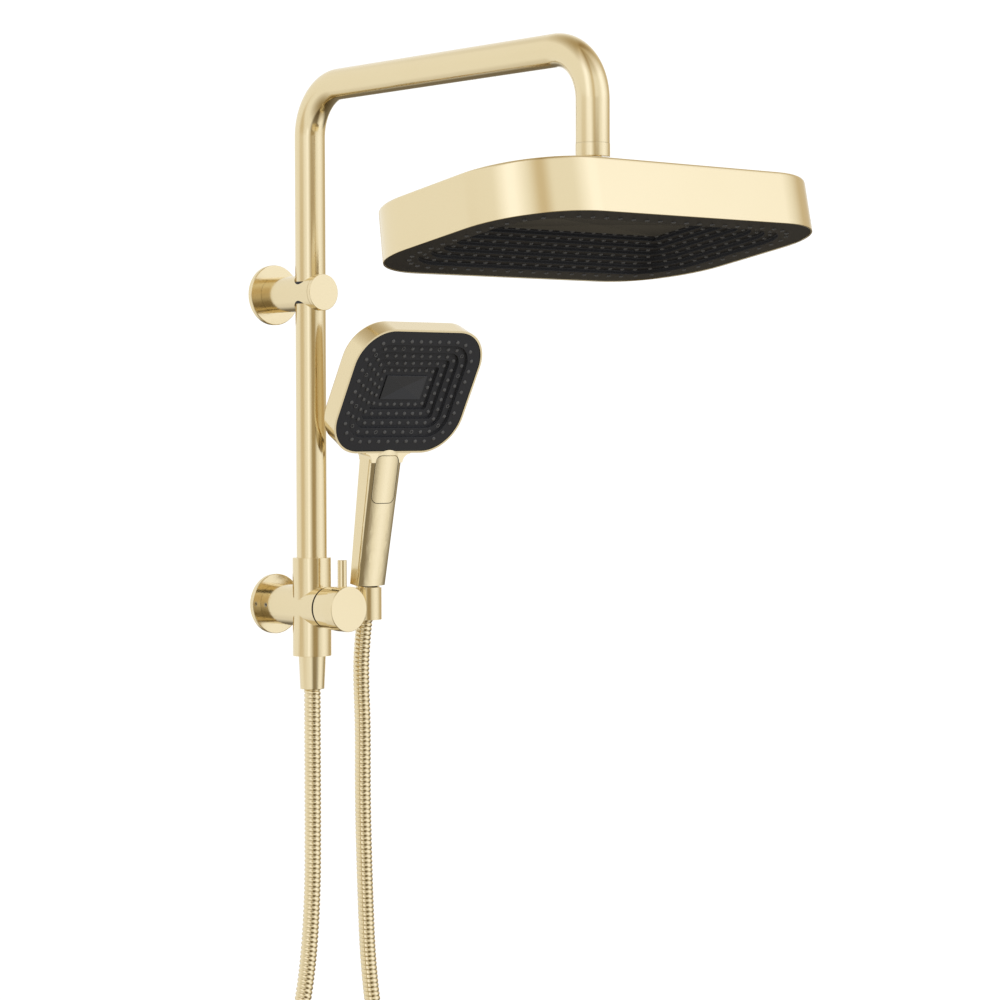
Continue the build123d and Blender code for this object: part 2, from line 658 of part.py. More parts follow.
def sphere_zone(radius, low, high, base, axis, mode=Mode.ADD):
    """Part of a ball between two heights on an axis through its centre."""
    normal = Vector(1, 0, 0).cross(Vector(*axis))
    r_low = math.sqrt(radius**2 - low**2)
    r_high = math.sqrt(radius**2 - high**2)
    middle = (math.asin(low / radius) + math.asin(high / radius)) / 2
    with BuildSketch(Plane(origin=base, x_dir=(1, 0, 0), z_dir=normal)) as zone:
        with BuildLine():
            through = (radius * math.cos(middle), radius * math.sin(middle))
            ThreePointArc((r_low, low), through, (r_high, high))
            Polyline((r_high, high), (0, high), (0, low), (r_low, low))
        make_face()
    revolve(zone.sketch, axis=Axis(base, axis), mode=mode)


with BuildPart() as ball_liner:
    sphere_zone(SOCKET_R - 0.05, -5.6, 3.6, PIVOT, HEAD_UP)
    sphere_zone(BALL_R + 0.05, -8.0, 8.0, PIVOT, HEAD_UP, Mode.SUBTRACT)
finish(ball_liner, "ball_liner")

with BuildPart() as ball_seal:
    o_ring(7.2, 0.95, -9.7, PIVOT, HEAD_UP)
finish(ball_seal, "ball_seal")

with BuildPart() as ball_nut:
    drum(NUT_R, HEAD_TOP + 3.4, 7.5, PIVOT, HEAD_UP)
    chamfer(ball_nut.edges().filter_by(GeomType.CIRCLE), 0.8)
    sphere_zone(SOCKET_R, -8.0, 7.0, PIVOT, HEAD_UP, Mode.SUBTRACT)
    drum(BOSS_R + 0.05, HEAD_TOP + 3.0, BOWL_TOP + 0.1, PIVOT, HEAD_UP, Mode.SUBTRACT)
    turned([(0, 6.0), (9.9, 6.0), (10.8, 8.5), (0, 8.5)], PIVOT, HEAD_UP, Mode.SUBTRACT)
finish(ball_nut, "ball_nut")

with BuildPart() as head_shell:
    slab(HEAD, HEAD_HALF, HEAD_CORNER, 0, 0, HEAD_H, taper=HEAD_DRAFT)
    fillet(head_shell.faces().sort_by(Axis(PIVOT, HEAD_UP))[-1].edges(), 2.5)
    hollow = HEAD_DISH["lip"] - 0.15
    slab(HEAD, HEAD_HALF, HEAD_CORNER, hollow, 0, HEAD_H - HEAD_WALL, Mode.SUBTRACT, HEAD_DRAFT)
    drum(BOSS_R, HEAD_TOP - HEAD_WALL, BOWL_TOP, PIVOT, HEAD_UP)
    sphere_zone(SOCKET_R, -10.4, 10.4, PIVOT, HEAD_UP, Mode.SUBTRACT)
    pipe(8.3, 5.0, -10.8, -8.5, PIVOT, HEAD_UP, Mode.SUBTRACT)
    drum(6.0, HEAD_TOP - HEAD_WALL, -10.0, PIVOT, HEAD_UP, Mode.SUBTRACT)
finish(head_shell, "head_shell")

FACE_LIFT = 0.5  # how far the black face sits inside the rim
HEAD_FACE = HEAD.offset(FACE_LIFT)
HEAD_BACK = 27.0  # depth of the backing plate behind the face
HEAD_SCREW_INSET = 11.2
HEAD_SCREWS = 8


def face_plate(plane, half, corner, dish, counts, screws, screw_inset, boss_r, back):
    """Black front: a stepped plate with a hole for every nozzle and blind screw posts."""
    thick = dish["thick"]
    stepped_shell(plane, half, corner, dish, dish["lip"], 0, thick, thick)
    nozzle_rings(plane, half, corner, dish, counts, HOLE_R, -1, thick + 1, Mode.SUBTRACT)
    places = list(ring_places(half, corner, screw_inset, screws, True))
    with BuildSketch(plane.offset(thick)) as posts:
        with Locations(*places):
            Circle(boss_r)
    extrude(posts.sketch, amount=back - thick)
    with BuildSketch(plane.offset(back)) as holes:
        with Locations(*places):
            Circle(SCREW_R + 0.02)
    extrude(holes.sketch, amount=2 - back / 2, mode=Mode.SUBTRACT)


def nozzle_mat(plane, half, corner, dish, counts):
    """Soft sheet behind the face with a nipple through every hole."""
    lift = dish["thick"] + 0.05
    stepped_shell(plane, half, corner, dish, dish["seat"], lift, MAT_T, lift + MAT_T)
    nozzle_rings(plane, half, corner, dish, counts, NOZZLE_R, -NOZZLE_PROUD, lift + 0.2, Mode.ADD)


def backing(plane, half, corner, dish, screws, screw_inset, edge, skirt, back, thick):
    """Tray that presses the mat's rim and closes the water chamber."""
    slab(plane, half, corner, edge, back + 0.05, back + thick)
    slab(plane, half, corner, dish["seat"] + 0.1, dish["thick"] + MAT_T + 0.1, back + 0.05)
    slab(plane, half, corner, dish["seat"] + skirt, 0, back + 0.04, Mode.SUBTRACT)
    with BuildSketch(plane.offset(back)) as holes:
        with Locations(*ring_places(half, corner, screw_inset, screws, True)):
            Circle(SCREW_R + 0.3)
    extrude(holes.sketch, amount=thick + 1, mode=Mode.SUBTRACT)


def back_screws(plane, half, corner, screws, screw_inset, top, length, head_r, head_h):
    """Cross-headed screws that hold a backing tray to its face."""
    places = list(ring_places(half, corner, screw_inset, screws, True))
    with BuildSketch(plane.offset(top + 0.05)) as heads:
        with Locations(*places):
            Circle(head_r)
    extrude(heads.sketch, amount=head_h)
    with BuildSketch(plane.offset(top + 0.05)) as shanks:
        with Locations(*places):
            Circle(SCREW_R)
    extrude(shanks.sketch, amount=-length)
    with BuildSketch(plane.offset(top + 0.05 + head_h)) as slots:
        with Locations(*places):
            Rectangle(head_r * 1.3, 0.5)
            Rectangle(0.5, head_r * 1.3)
    extrude(slots.sketch, amount=-head_h / 2, mode=Mode.SUBTRACT)


HEAD_SHAPE = (HEAD_HALF, HEAD_CORNER)
with BuildPart() as head_face:
    face_plate(
        HEAD_FACE, *HEAD_SHAPE, HEAD_DISH, HEAD_NOZZLES, HEAD_SCREWS, HEAD_SCREW_INSET, 2.8, HEAD_BACK
    )
finish(head_face, "head_face")

with BuildPart() as head_mat:
    nozzle_mat(HEAD_FACE, *HEAD_SHAPE, HEAD_DISH, HEAD_NOZZLES)
finish(head_mat, "head_nozzle_mat")

with BuildPart() as head_facet:
    facet_block(HEAD_FACE, *HEAD_SHAPE, HEAD_DISH, 1.2)
finish(head_facet, "head_centre_facet")

HEAD_BACK_T = 2.5
INLET_LOW = FACE_LIFT + HEAD_BACK - FACE_DROP

with BuildPart() as head_backing:
    backing(
        HEAD_FACE, *HEAD_SHAPE, HEAD_DISH, HEAD_SCREWS, HEAD_SCREW_INSET, 8.0, 2.0, HEAD_BACK, HEAD_BACK_T
    )
    drum(12.0, INLET_LOW + 1.0, HEAD_TOP - HEAD_WALL - 1.6, PIVOT, HEAD_UP)
    drum(6.0, INLET_LOW - 1.0, HEAD_TOP, PIVOT, HEAD_UP, Mode.SUBTRACT)
finish(head_backing, "head_backing_tray")

with BuildPart() as head_gasket:
    pipe(11.0, 6.4, HEAD_TOP - HEAD_WALL - 1.55, HEAD_TOP - HEAD_WALL - 0.05, PIVOT, HEAD_UP)
finish(head_gasket, "head_inlet_gasket")

with BuildPart() as head_screws:
    back_screws(
        HEAD_FACE, *HEAD_SHAPE, HEAD_SCREWS, HEAD_SCREW_INSET, HEAD_BACK + HEAD_BACK_T, 12.0, 2.7, 1.7
    )
finish(head_screws, "head_screws")

# ---------------------------------------------------------------- hand spray
HANDSET = Plane(origin=CUP, x_dir=(1, 0, 0), z_dir=HANDLE_AXIS)
SPRAY_IN = (0, math.cos(math.radians(SPRAY_PITCH)), math.sin(math.radians(SPRAY_PITCH)))
SPRAY_ORIGIN = (CUP_X, RISER_Y - SPRAY_CENTRE[0], SPRAY_CENTRE[1])
SPRAY = Plane(origin=SPRAY_ORIGIN, x_dir=(1, 0, 0), z_dir=SPRAY_IN)
SPRAY_SHAPE = (SPRAY_HALF, SPRAY_CORNER)
SPRAY_FACE = SPRAY.offset(0.4)
SPRAY_BACK = 13.0
SPRAY_BACK_T = 1.6
SPRAY_SCREWS = 6
SPRAY_SCREW_INSET = 5.7

HANDLE_FOOT = 16.2  # heights along the handle's own axis
HANDLE_TOP = 134.5
HANDLE_FOOT_SIZE = (30.4, 14.6)
HANDLE_TOP_SIZE = (33.6, 19.6)
HANDLE_BULGE = 3.0
SHELL_WALL = 2.0
BUTTON_SIZE = (23.6, 40.0)
BUTTON_MIDDLE = 107.4
BUTTON_BACK = 6.6  # how far in front of the handle's axis the button's back lies
BUTTON_CORNER = 5.5
BUTTON_GAP = 0.5
FLARE_R = 7.5
WATER_TUBE_R = 4.0
WATER_BORE_R = 2.9
SPOOL_R = 2.5
BLOCK_FRONT = 4.1  # valve block's front, ahead of the handle's axis
INLET_NECK_R = 6.4
THREAD_TOP = 13.9  # top of the hand spray's thread, on its axis


def handle_section(height, shrink):
    """Handle's cross-section: flat back and sides, and a gently bowed front."""
    share = (height - HANDLE_FOOT) / (HANDLE_TOP - HANDLE_FOOT)
    size = [low + (high - low) * share for low, high in zip(HANDLE_FOOT_SIZE, HANDLE_TOP_SIZE)]
    half_w = size[0] / 2 - shrink
    half_d = size[1] / 2 - shrink
    corner = half_d - HANDLE_BULGE
    with BuildSketch(HANDSET.offset(height)) as section:
        with BuildLine():
            Polyline((half_w, -corner), (half_w, half_d), (-half_w, half_d), (-half_w, -corner))
            ThreePointArc((-half_w, -corner), (0, -half_d), (half_w, -corner))
        make_face()
        fillet(section.vertices(), max(2.6 - shrink, 0.8))
    return section.sketch.face()


def handle_body(low, high, shrink, mode=Mode.ADD):
    """Tapered length of the handle between two heights."""
    loft([handle_section(low, shrink), handle_section(high, shrink)], ruled=True, mode=mode)


def across(distance):
    """Plane facing the wall, a distance behind the handle's axis."""
    base = along(CUP, lean(HANDLE_LEAN - 90), distance)
    return Plane(origin=base, x_dir=(-1, 0, 0), z_dir=lean(HANDLE_LEAN - 90))


def button_outline(distance, grow):
    """Rounded rectangle of the button at a distance behind the handle's axis."""
    with BuildSketch(across(distance)) as outline:
        with Locations((0, BUTTON_MIDDLE)):
            RectangleRounded(BUTTON_SIZE[0] + 2 * grow, BUTTON_SIZE[1] + 2 * grow, BUTTON_CORNER + grow)
    return outline.sketch


with BuildPart() as spray_shell:
    slab(SPRAY, *SPRAY_SHAPE, 0, 0, SPRAY_T, taper=3.0)
    fillet(spray_shell.faces().sort_by(Axis(SPRAY_ORIGIN, SPRAY_IN))[-1].edges(), 4.0)
    handle_body(HANDLE_FOOT, HANDLE_TOP, 0)
    with BuildSketch(across(-8.4)) as flare:
        with BuildLine():
            side = HANDLE_TOP_SIZE[0] / 2 - 0.6
            foot = HANDLE_TOP - 13.0
            Polyline(
                (side, foot),
                (-side, foot),
                (-side - FLARE_R, foot + FLARE_R),
                (-side - FLARE_R, foot + FLARE_R + 6),
                (side + FLARE_R, foot + FLARE_R + 6),
                (side + FLARE_R, foot + FLARE_R),
                (side, foot),
            )
        make_face()
        with Locations((side + FLARE_R, foot), (-side - FLARE_R, foot)):
            Circle(FLARE_R, mode=Mode.SUBTRACT)
    extrude(flare.sketch, amount=17.6)
    slab(SPRAY, *SPRAY_SHAPE, SPRAY_DISH["lip"] - 0.15, 0, SPRAY_T - SHELL_WALL, Mode.SUBTRACT, taper=3.0)
    handle_body(HANDLE_FOOT + SHELL_WALL, 120.0, SHELL_WALL, Mode.SUBTRACT)
    drum(5.0, 118.0, 146.0, CUP, HANDLE_AXIS, Mode.SUBTRACT)
    drum(INLET_NECK_R + 0.05, 0, HANDLE_FOOT + SHELL_WALL + 1, CUP, HANDLE_AXIS, Mode.SUBTRACT)
    extrude(button_outline(-14.0, BUTTON_GAP), amount=9.6, mode=Mode.SUBTRACT)
finish(spray_shell, "spray_shell")

with BuildPart() as spray_inlet:
    thread_foot = NUT_FOOT + WASHER_FOOT + WASHER_T + 0.05
    drum(HANDSET_NUT["thread"], thread_foot, THREAD_TOP, CUP, HANDLE_AXIS)
    drum(INLET_NECK_R, THREAD_TOP, HANDLE_FOOT + SHELL_WALL + 0.8, CUP, HANDLE_AXIS)
    drum(5.0, 0, 13.0, CUP, HANDLE_AXIS, Mode.SUBTRACT)
    drum(WATER_TUBE_R + 0.02, 13.0, 40.0, CUP, HANDLE_AXIS, Mode.SUBTRACT)
finish(spray_inlet, "spray_inlet")

with BuildPart() as spray_waterway:
    drum(WATER_TUBE_R, 13.05, 128.0, CUP, HANDLE_AXIS)
    with BuildSketch(across(-BLOCK_FRONT)) as block:
        with Locations((0, BUTTON_MIDDLE)):
            Rectangle(16.0, 18.0)
    extrude(block.sketch, amount=9.1)
    drum(WATER_BORE_R, 13.0, 129.0, CUP, HANDLE_AXIS, Mode.SUBTRACT)
    with BuildSketch(across(-BLOCK_FRONT - 1)) as bore:
        with Locations((0, BUTTON_MIDDLE)):
            Circle(SPOOL_R + 0.05)
    extrude(bore.sketch, amount=BLOCK_FRONT + 4.6, mode=Mode.SUBTRACT)
finish(spray_waterway, "spray_waterway")

with BuildPart() as waterway_seal:
    o_ring((WATER_TUBE_R + 5.0) / 2, 0.45, 125.0, CUP, HANDLE_AXIS)
finish(waterway_seal, "waterway_seal")

with BuildPart() as spray_button:
    handle_body(80.0, HANDLE_TOP, 0)
    extrude(button_outline(-14.0, 0), amount=14.0 - BUTTON_BACK, mode=Mode.INTERSECT)
finish(spray_button, "spray_button")

with BuildPart() as mode_spool:
    with BuildSketch(across(-BUTTON_BACK + 0.02)) as rod:
        with Locations((0, BUTTON_MIDDLE)):
            Circle(SPOOL_R)
    extrude(rod.sketch, amount=BUTTON_BACK + 1.9)
finish(mode_spool, "mode_spool")

with BuildPart() as button_spring:
    with BuildSketch(across(-BUTTON_BACK + 0.05)) as coil:
        with Locations((0, BUTTON_MIDDLE)):
            Circle(4.2)
            Circle(SPOOL_R + 0.35, mode=Mode.SUBTRACT)
    extrude(coil.sketch, amount=BUTTON_BACK - BLOCK_FRONT - 0.1)
finish(button_spring, "button_spring")

with BuildPart() as spray_face:
    face_plate(
        SPRAY_FACE, *SPRAY_SHAPE, SPRAY_DISH, SPRAY_NOZZLES, SPRAY_SCREWS, SPRAY_SCREW_INSET, 2.0, SPRAY_BACK
    )
finish(spray_face, "spray_face")

with BuildPart() as spray_mat:
    nozzle_mat(SPRAY_FACE, *SPRAY_SHAPE, SPRAY_DISH, SPRAY_NOZZLES)
finish(spray_mat, "spray_nozzle_mat")

with BuildPart() as spray_facet:
    facet_block(SPRAY_FACE, *SPRAY_SHAPE, SPRAY_DISH, 1.0)
finish(spray_facet, "spray_centre_facet")

with BuildPart() as spray_backing:
    backing(
        SPRAY_FACE,
        *SPRAY_SHAPE,
        SPRAY_DISH,
        SPRAY_SCREWS,
        SPRAY_SCREW_INSET,
        3.2,
        1.0,
        SPRAY_BACK,
        SPRAY_BACK_T,
    )
    drum(5.2, 120.0, 146.0, CUP, HANDLE_AXIS, Mode.SUBTRACT)
finish(spray_backing, "spray_backing_tray")

with BuildPart() as spray_screws:
    back_screws(
        SPRAY_FACE, *SPRAY_SHAPE, SPRAY_SCREWS, SPRAY_SCREW_INSET, SPRAY_BACK + SPRAY_BACK_T, 6.0, 2.0, 1.1
    )
finish(spray_screws, "spray_screws")
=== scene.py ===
"""Looks of a wall-mounted shower column, in metres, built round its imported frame."""

import json
import logging
import math
from collections.abc import Iterable, Mapping, Sequence
from dataclasses import dataclass, field, replace
from enum import Enum

import bmesh
import bpy
from mathutils import Matrix, Vector


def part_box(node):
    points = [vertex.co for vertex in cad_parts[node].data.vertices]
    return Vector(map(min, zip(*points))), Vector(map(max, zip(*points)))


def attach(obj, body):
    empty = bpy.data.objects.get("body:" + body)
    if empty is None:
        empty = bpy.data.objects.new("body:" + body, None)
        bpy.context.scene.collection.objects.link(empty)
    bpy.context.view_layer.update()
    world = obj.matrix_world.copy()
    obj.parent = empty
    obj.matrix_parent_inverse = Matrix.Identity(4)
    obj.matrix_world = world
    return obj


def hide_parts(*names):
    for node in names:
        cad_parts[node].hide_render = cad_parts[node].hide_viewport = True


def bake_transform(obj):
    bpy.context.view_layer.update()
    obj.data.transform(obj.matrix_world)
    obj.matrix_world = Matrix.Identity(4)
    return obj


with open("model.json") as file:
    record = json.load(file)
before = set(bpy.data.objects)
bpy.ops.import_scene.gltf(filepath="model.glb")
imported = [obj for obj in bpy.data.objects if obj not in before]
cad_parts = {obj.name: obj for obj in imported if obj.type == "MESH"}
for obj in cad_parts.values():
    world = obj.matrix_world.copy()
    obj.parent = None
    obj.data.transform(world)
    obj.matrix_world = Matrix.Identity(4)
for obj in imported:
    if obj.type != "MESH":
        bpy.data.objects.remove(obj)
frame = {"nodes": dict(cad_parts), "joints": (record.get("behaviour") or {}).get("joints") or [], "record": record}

log = logging.getLogger("shower_column")

MM = 0.001
LEAST_CORNER = 2 * MM  # corner radius that an inset rounded rectangle keeps
SEAM = 2e-6  # points of a CAD mesh nearer than this are one
FLAT = math.radians(0.2)  # faces of a CAD mesh that turn less than this are one
Pair = tuple[float, float]


# ---------------------------------------------------------------- places and outlines
@dataclass(frozen=True)
class Place:
    """Right-handed axes at a point: z is the axis that a piece is turned or built on."""

    origin: Vector
    z: Vector
    x: Vector = field(default_factory=lambda: Vector((1, 0, 0)))

    @property
    def y(self) -> Vector:
        """The third axis."""
        return self.z.cross(self.x).normalized()

    @property
    def matrix(self) -> Matrix:
        """The transform from the place's own coordinates to the frame's."""
        turn = Matrix((self.x, self.y, self.z)).transposed()
        return Matrix.Translation(self.origin) @ turn.to_4x4()

    def moved(self, height: float) -> "Place":
        """The same axes, further along z."""
        return Place(self.origin + self.z * height, self.z, self.x)


def joint(name: str) -> dict:
    """The frame's joint of that name."""
    return next(each for each in frame["joints"] if each["name"] == name)


def eased(outline: Sequence[Pair], radius: float, steps: int = 4) -> list[Pair]:
    """Round the inner corners of an open outline.

    Args:
        outline: Points of the outline, in order.
        radius: Largest rounding, held to under half of each run.
        steps: Stretches in each rounded corner.

    Returns:
        The outline with a short curve in place of each corner.
    """
    result = [tuple(outline[0])]
    for before, here, after in zip(outline, outline[1:], outline[2:]):
        corner = Vector(here)
        into, out = corner - Vector(before), Vector(after) - corner
        turn = into.angle(out)
        reach = min(radius * math.tan(turn / 2), 0.45 * into.length, 0.45 * out.length)
        start, end = corner - into.normalized() * reach, corner + out.normalized() * reach
        for step in range(steps + 1):
            share = step / steps
            point = start * (1 - share) ** 2 + corner * 2 * share * (1 - share) + end * share**2
            result.append(tuple(point))
    result.append(tuple(outline[-1]))
    return result


def rounded_rectangle(half: Pair, corner: float, arc: int = 16) -> list[Pair]:
    """Points round a rounded rectangle, anticlockwise, the same number at any size."""
    points = []
    for quarter, (side_x, side_y) in enumerate(((1, 1), (-1, 1), (-1, -1), (1, -1))):
        centre = (side_x * (half[0] - corner), side_y * (half[1] - corner))
        for step in range(arc + 1):
            angle = math.pi / 2 * (quarter + step / arc)
            points.append((centre[0] + corner * math.cos(angle), centre[1] + corner * math.sin(angle)))
    return points


def ring_places(half: Pair, corner: float, count: int, shifted: bool) -> list[Pair]:
    """Even places round a rounded rectangle, from the middle of its top side.

    Args:
        half: Half width and half height of the rectangle.
        corner: Corner radius.
        count: Number of places.
        shifted: Whether the first place is half a step on.

    Returns:
        The places, clockwise.
    """
    flat_x, flat_y = half[0] - corner, half[1] - corner
    arc = corner * math.pi / 2
    quarter = flat_x + arc + flat_y
    places = []
    for index in range(count):
        run = (index + (0.5 if shifted else 0.0)) * 4 * quarter / count
        lap, rest = divmod(run, 2 * quarter)
        lower = rest > quarter
        rest = 2 * quarter - rest if lower else rest
        if rest <= flat_x:
            x, y = rest, half[1]
        elif rest <= flat_x + arc:
            turn = (rest - flat_x) / corner
            x, y = flat_x + corner * math.sin(turn), flat_y + corner * math.cos(turn)
        else:
            x, y = half[0], flat_y - (rest - flat_x - arc)
        y = -y if lower else y
        places.append((-x, -y) if lap else (x, y))
    return places


# ---------------------------------------------------------------- node graphs
class Graph:
    """A node tree under construction."""

    def __init__(self, tree: bpy.types.NodeTree) -> None:
        """Start from an empty tree."""
        self.tree = tree
        tree.nodes.clear()

    def add(self, kind: str, inputs: Mapping | None = None, **settings: object) -> bpy.types.Node:
        """Add a node.

        Args:
            kind: Blender's name of the node type.
            inputs: Value or linked socket for each input, by name or number.
            **settings: The node's own properties.

        Returns:
            The new node.
        """
        node = self.tree.nodes.new(kind)
        for name, value in settings.items():
            setattr(node, name, value)
        for key, value in (inputs or {}).items():
            if isinstance(value, bpy.types.NodeSocket):
                self.tree.links.new(value, node.inputs[key])
            else:
                node.inputs[key].default_value = value
        return node

    def maths(self, operation: str, *values: object) -> bpy.types.NodeSocket:
        """Add a Math node and return its result."""
        return self.add("ShaderNodeMath", dict(enumerate(values)), operation=operation).outputs[0]

    def mixed(self, share: object, first: object, second: object, blend: str = "MIX") -> bpy.types.NodeSocket:
        """Add a colour Mix node and return its colour."""
        inputs = {0: share, "A": first, "B": second}
        return self.add("ShaderNodeMix", inputs, data_type="RGBA", blend_type=blend).outputs["Result"]


class Rig(Graph):
    """A Geometry Nodes tree with named inputs."""

    def __init__(self, name: str, inputs: Mapping[str, tuple[str, object]]) -> None:
        """Make the tree and its sockets.

        Args:
            name: The tree's name.
            inputs: Socket kind and default for each input's name.
        """
        super().__init__(bpy.data.node_groups.new(name, "GeometryNodeTree"))
        sockets = self.tree.interface
        sockets.new_socket("Geometry", in_out="OUTPUT", socket_type="NodeSocketGeometry")
        sockets.new_socket("Geometry", in_out="INPUT", socket_type="NodeSocketGeometry")
        self.keys = {}
        for title, (kind, default) in inputs.items():
            made = sockets.new_socket(title, in_out="INPUT", socket_type="NodeSocket" + kind)
            if default is not None:
                made.default_value = default
            self.keys[title] = made.identifier
        self.given = self.add("NodeGroupInput").outputs

    def swept(
        self, line: bpy.types.NodeSocket, section: bpy.types.NodeSocket, caps: bool
    ) -> bpy.types.NodeSocket:
        """Sweep a section along a line and return the mesh."""
        inputs = {"Curve": line, "Profile Curve": section, "Fill Caps": caps}
        return self.add("GeometryNodeCurveToMesh", inputs).outputs[0]

    def circle(self, sides: object, radius: object) -> bpy.types.NodeSocket:
        """Add a circle and return its curve."""
        sizes = {"Resolution": sides, "Radius": radius}
        return self.add("GeometryNodeCurvePrimitiveCircle", sizes).outputs[0]

    def close(self, geometry: bpy.types.NodeSocket) -> None:
        """End the tree with real geometry in the given material."""
        real = self.add("GeometryNodeRealizeInstances", {0: geometry})
        dress = {0: real.outputs[0], "Material": self.given["Material"]}
        dressed = self.add("GeometryNodeSetMaterial", dress)
        self.add("NodeGroupOutput", {0: dressed.outputs[0]})

    def made(self, source: bpy.types.Object, name: str, **values: object) -> bpy.types.Object:
        """Run the tree on an object and keep the result as a plain mesh piece.

        Args:
            source: Object that the tree starts from, removed afterwards.
            name: Name of the new piece.
            **values: Input values, with underscores for spaces.

        Returns:
            The new mesh object.
        """
        modifier = source.modifiers.new(self.tree.name, "NODES")
        modifier.node_group = self.tree
        for title, value in values.items():
            modifier[self.keys[title.replace("_", " ")]] = value
        evaluated = source.evaluated_get(bpy.context.evaluated_depsgraph_get())
        mesh = bpy.data.meshes.new_from_object(evaluated)
        source.modifiers.remove(modifier)
        bpy.data.objects.remove(source)
        return linked(name, mesh)


# ---------------------------------------------------------------- meshes
def linked(name: str, data: bpy.types.ID) -> bpy.types.Object:
    """A new object at the origin with that data."""
    data.name = name
    made = bpy.data.objects.new(name, data)
    bpy.context.scene.collection.objects.link(made)
    return made


def closed_mesh(bm: bmesh.types.BMesh, name: str, sharp: float = 40.0) -> bpy.types.Object:
    """Turn a closed build into a smooth-shaded object with crisp edges over an angle.

    Args:
        bm: The build, which is freed.
        name: Name of the object.
        sharp: Angle in degrees over which an edge stays crisp.

    Returns:
        The object.
    """
    bmesh.ops.recalc_face_normals(bm, faces=bm.faces)
    for face in bm.faces:
        face.smooth = True
    for edge in bm.edges:
        edge.smooth = edge.calc_face_angle(math.pi) < math.radians(sharp)
    mesh = bpy.data.meshes.new(name)
    bm.to_mesh(mesh)
    bm.free()
    return linked(name, mesh)


def settled(piece: bpy.types.Object) -> bpy.types.Object:
    """Apply a piece's modifiers, with normals weighted towards its broad faces."""
    weigh = piece.modifiers.new("broad faces", "WEIGHTED_NORMAL")
    weigh.keep_sharp = True
    evaluated = piece.evaluated_get(bpy.context.evaluated_depsgraph_get())
    mesh = bpy.data.meshes.new_from_object(evaluated)
    piece.modifiers.clear()
    piece.data, mesh.name = mesh, piece.name
    return piece


def skin(bm: bmesh.types.BMesh, rings: Sequence[list], looped: bool = False) -> None:
    """Join rings of vertices in order, with a cap or a pole at each open end.

    Args:
        bm: Build that the rings are in.
        rings: Rings of the same number of vertices, or of one vertex for a pole.
        looped: Whether the last ring joins the first.
    """
    followers = [*rings[1:], rings[0]] if looped else rings[1:]
    for lower, upper in zip(rings, followers):
        count = max(len(lower), len(upper))
        for index in range(count):
            after = (index + 1) % count
            if len(lower) == 1:
                bm.faces.new((lower[0], upper[after], upper[index]))
            elif len(upper) == 1:
                bm.faces.new((lower[index], lower[after], upper[0]))
            else:
                bm.faces.new((lower[index], lower[after], upper[after], upper[index]))
    for end in (rings[0], rings[-1]):
        if not looped and len(end) > 1:
            bm.faces.new(end)


def add_turned(
    bm: bmesh.types.BMesh, place: Place, outline: Sequence[Pair], sides: int, looped: bool = False
) -> None:
    """Turn an outline about a place's z axis into a build.

    Args:
        bm: The build.
        place: Its axes.
        outline: (radius, height) points, from pole to pole or round a ring.
        sides: Facets round the axis.
        looped: Whether the outline closes on itself.
    """
    rings = []
    for radius, height in outline:
        if radius < 1e-7:
            rings.append([bm.verts.new(place.matrix @ Vector((0, 0, height)))])
            continue
        angles = [2 * math.pi * side / sides for side in range(sides)]
        points = [(radius * math.cos(a), radius * math.sin(a), height) for a in angles]
        rings.append([bm.verts.new(place.matrix @ Vector(point)) for point in points])
    skin(bm, rings, looped)


def turned(
    name: str, place: Place, outline: Sequence[Pair], sides: int = 96, looped: bool = False
) -> bpy.types.Object:
    """A piece turned about a place's z axis.

    Args:
        name: Name of the piece.
        place: Its axes.
        outline: (radius, height) points, from pole to pole or round a ring.
        sides: Facets round the axis.
        looped: Whether the outline closes on itself.

    Returns:
        The piece.
    """
    bm = bmesh.new()
    add_turned(bm, place, outline, sides, looped)
    return settled(closed_mesh(bm, name))


def add_lofted(
    bm: bmesh.types.BMesh, place: Place, half: Pair, corner: float, outline: Sequence[Pair]
) -> None:
    """Loft rounded rectangles into a build.

    Args:
        bm: The build.
        place: Its axes.
        half: Half sizes of the rectangle that has no inset.
        corner: Its corner radius.
        outline: (inset, depth) of each rectangle.
    """
    rings = []
    for inset, depth in outline:
        shape = rounded_rectangle((half[0] - inset, half[1] - inset), max(corner - inset, LEAST_CORNER))
        rings.append([bm.verts.new(place.matrix @ Vector((x, y, depth))) for x, y in shape])
    skin(bm, rings)


def refined(node: str, edge: float, name: str) -> bpy.types.Object:
    """A copy of a CAD node with eased edges and smooth shading.

    Args:
        node: The CAD node.
        edge: Width of the eased edges.
        name: Name of the new piece.

    Returns:
        The piece, which replaces the node.
    """
    bm = bmesh.new()
    bm.from_mesh(frame["nodes"][node].data)
    bmesh.ops.remove_doubles(bm, verts=bm.verts, dist=SEAM)
    bmesh.ops.dissolve_limit(
        bm, angle_limit=FLAT, verts=bm.verts, edges=bm.edges, use_dissolve_boundaries=False
    )
    piece = closed_mesh(bm, name, sharp=25.0)
    piece.data.materials.clear()
    bevel = piece.modifiers.new("eased edges", "BEVEL")
    bevel.width, bevel.segments, bevel.limit_method = edge, 2, "ANGLE"
    bevel.angle_limit, bevel.use_clamp_overlap = math.radians(30), True
    bevel.miter_outer, bevel.harden_normals = "MITER_ARC", False
    return settled(piece)


# ---------------------------------------------------------------- finishes
class Grain(Enum):
    """How a surface was worked."""

    SATIN = "fine lines along one direction"
    TURNED = "fine rings round the piece's own axis"
    MOULDED = "fine even texture of a mould"


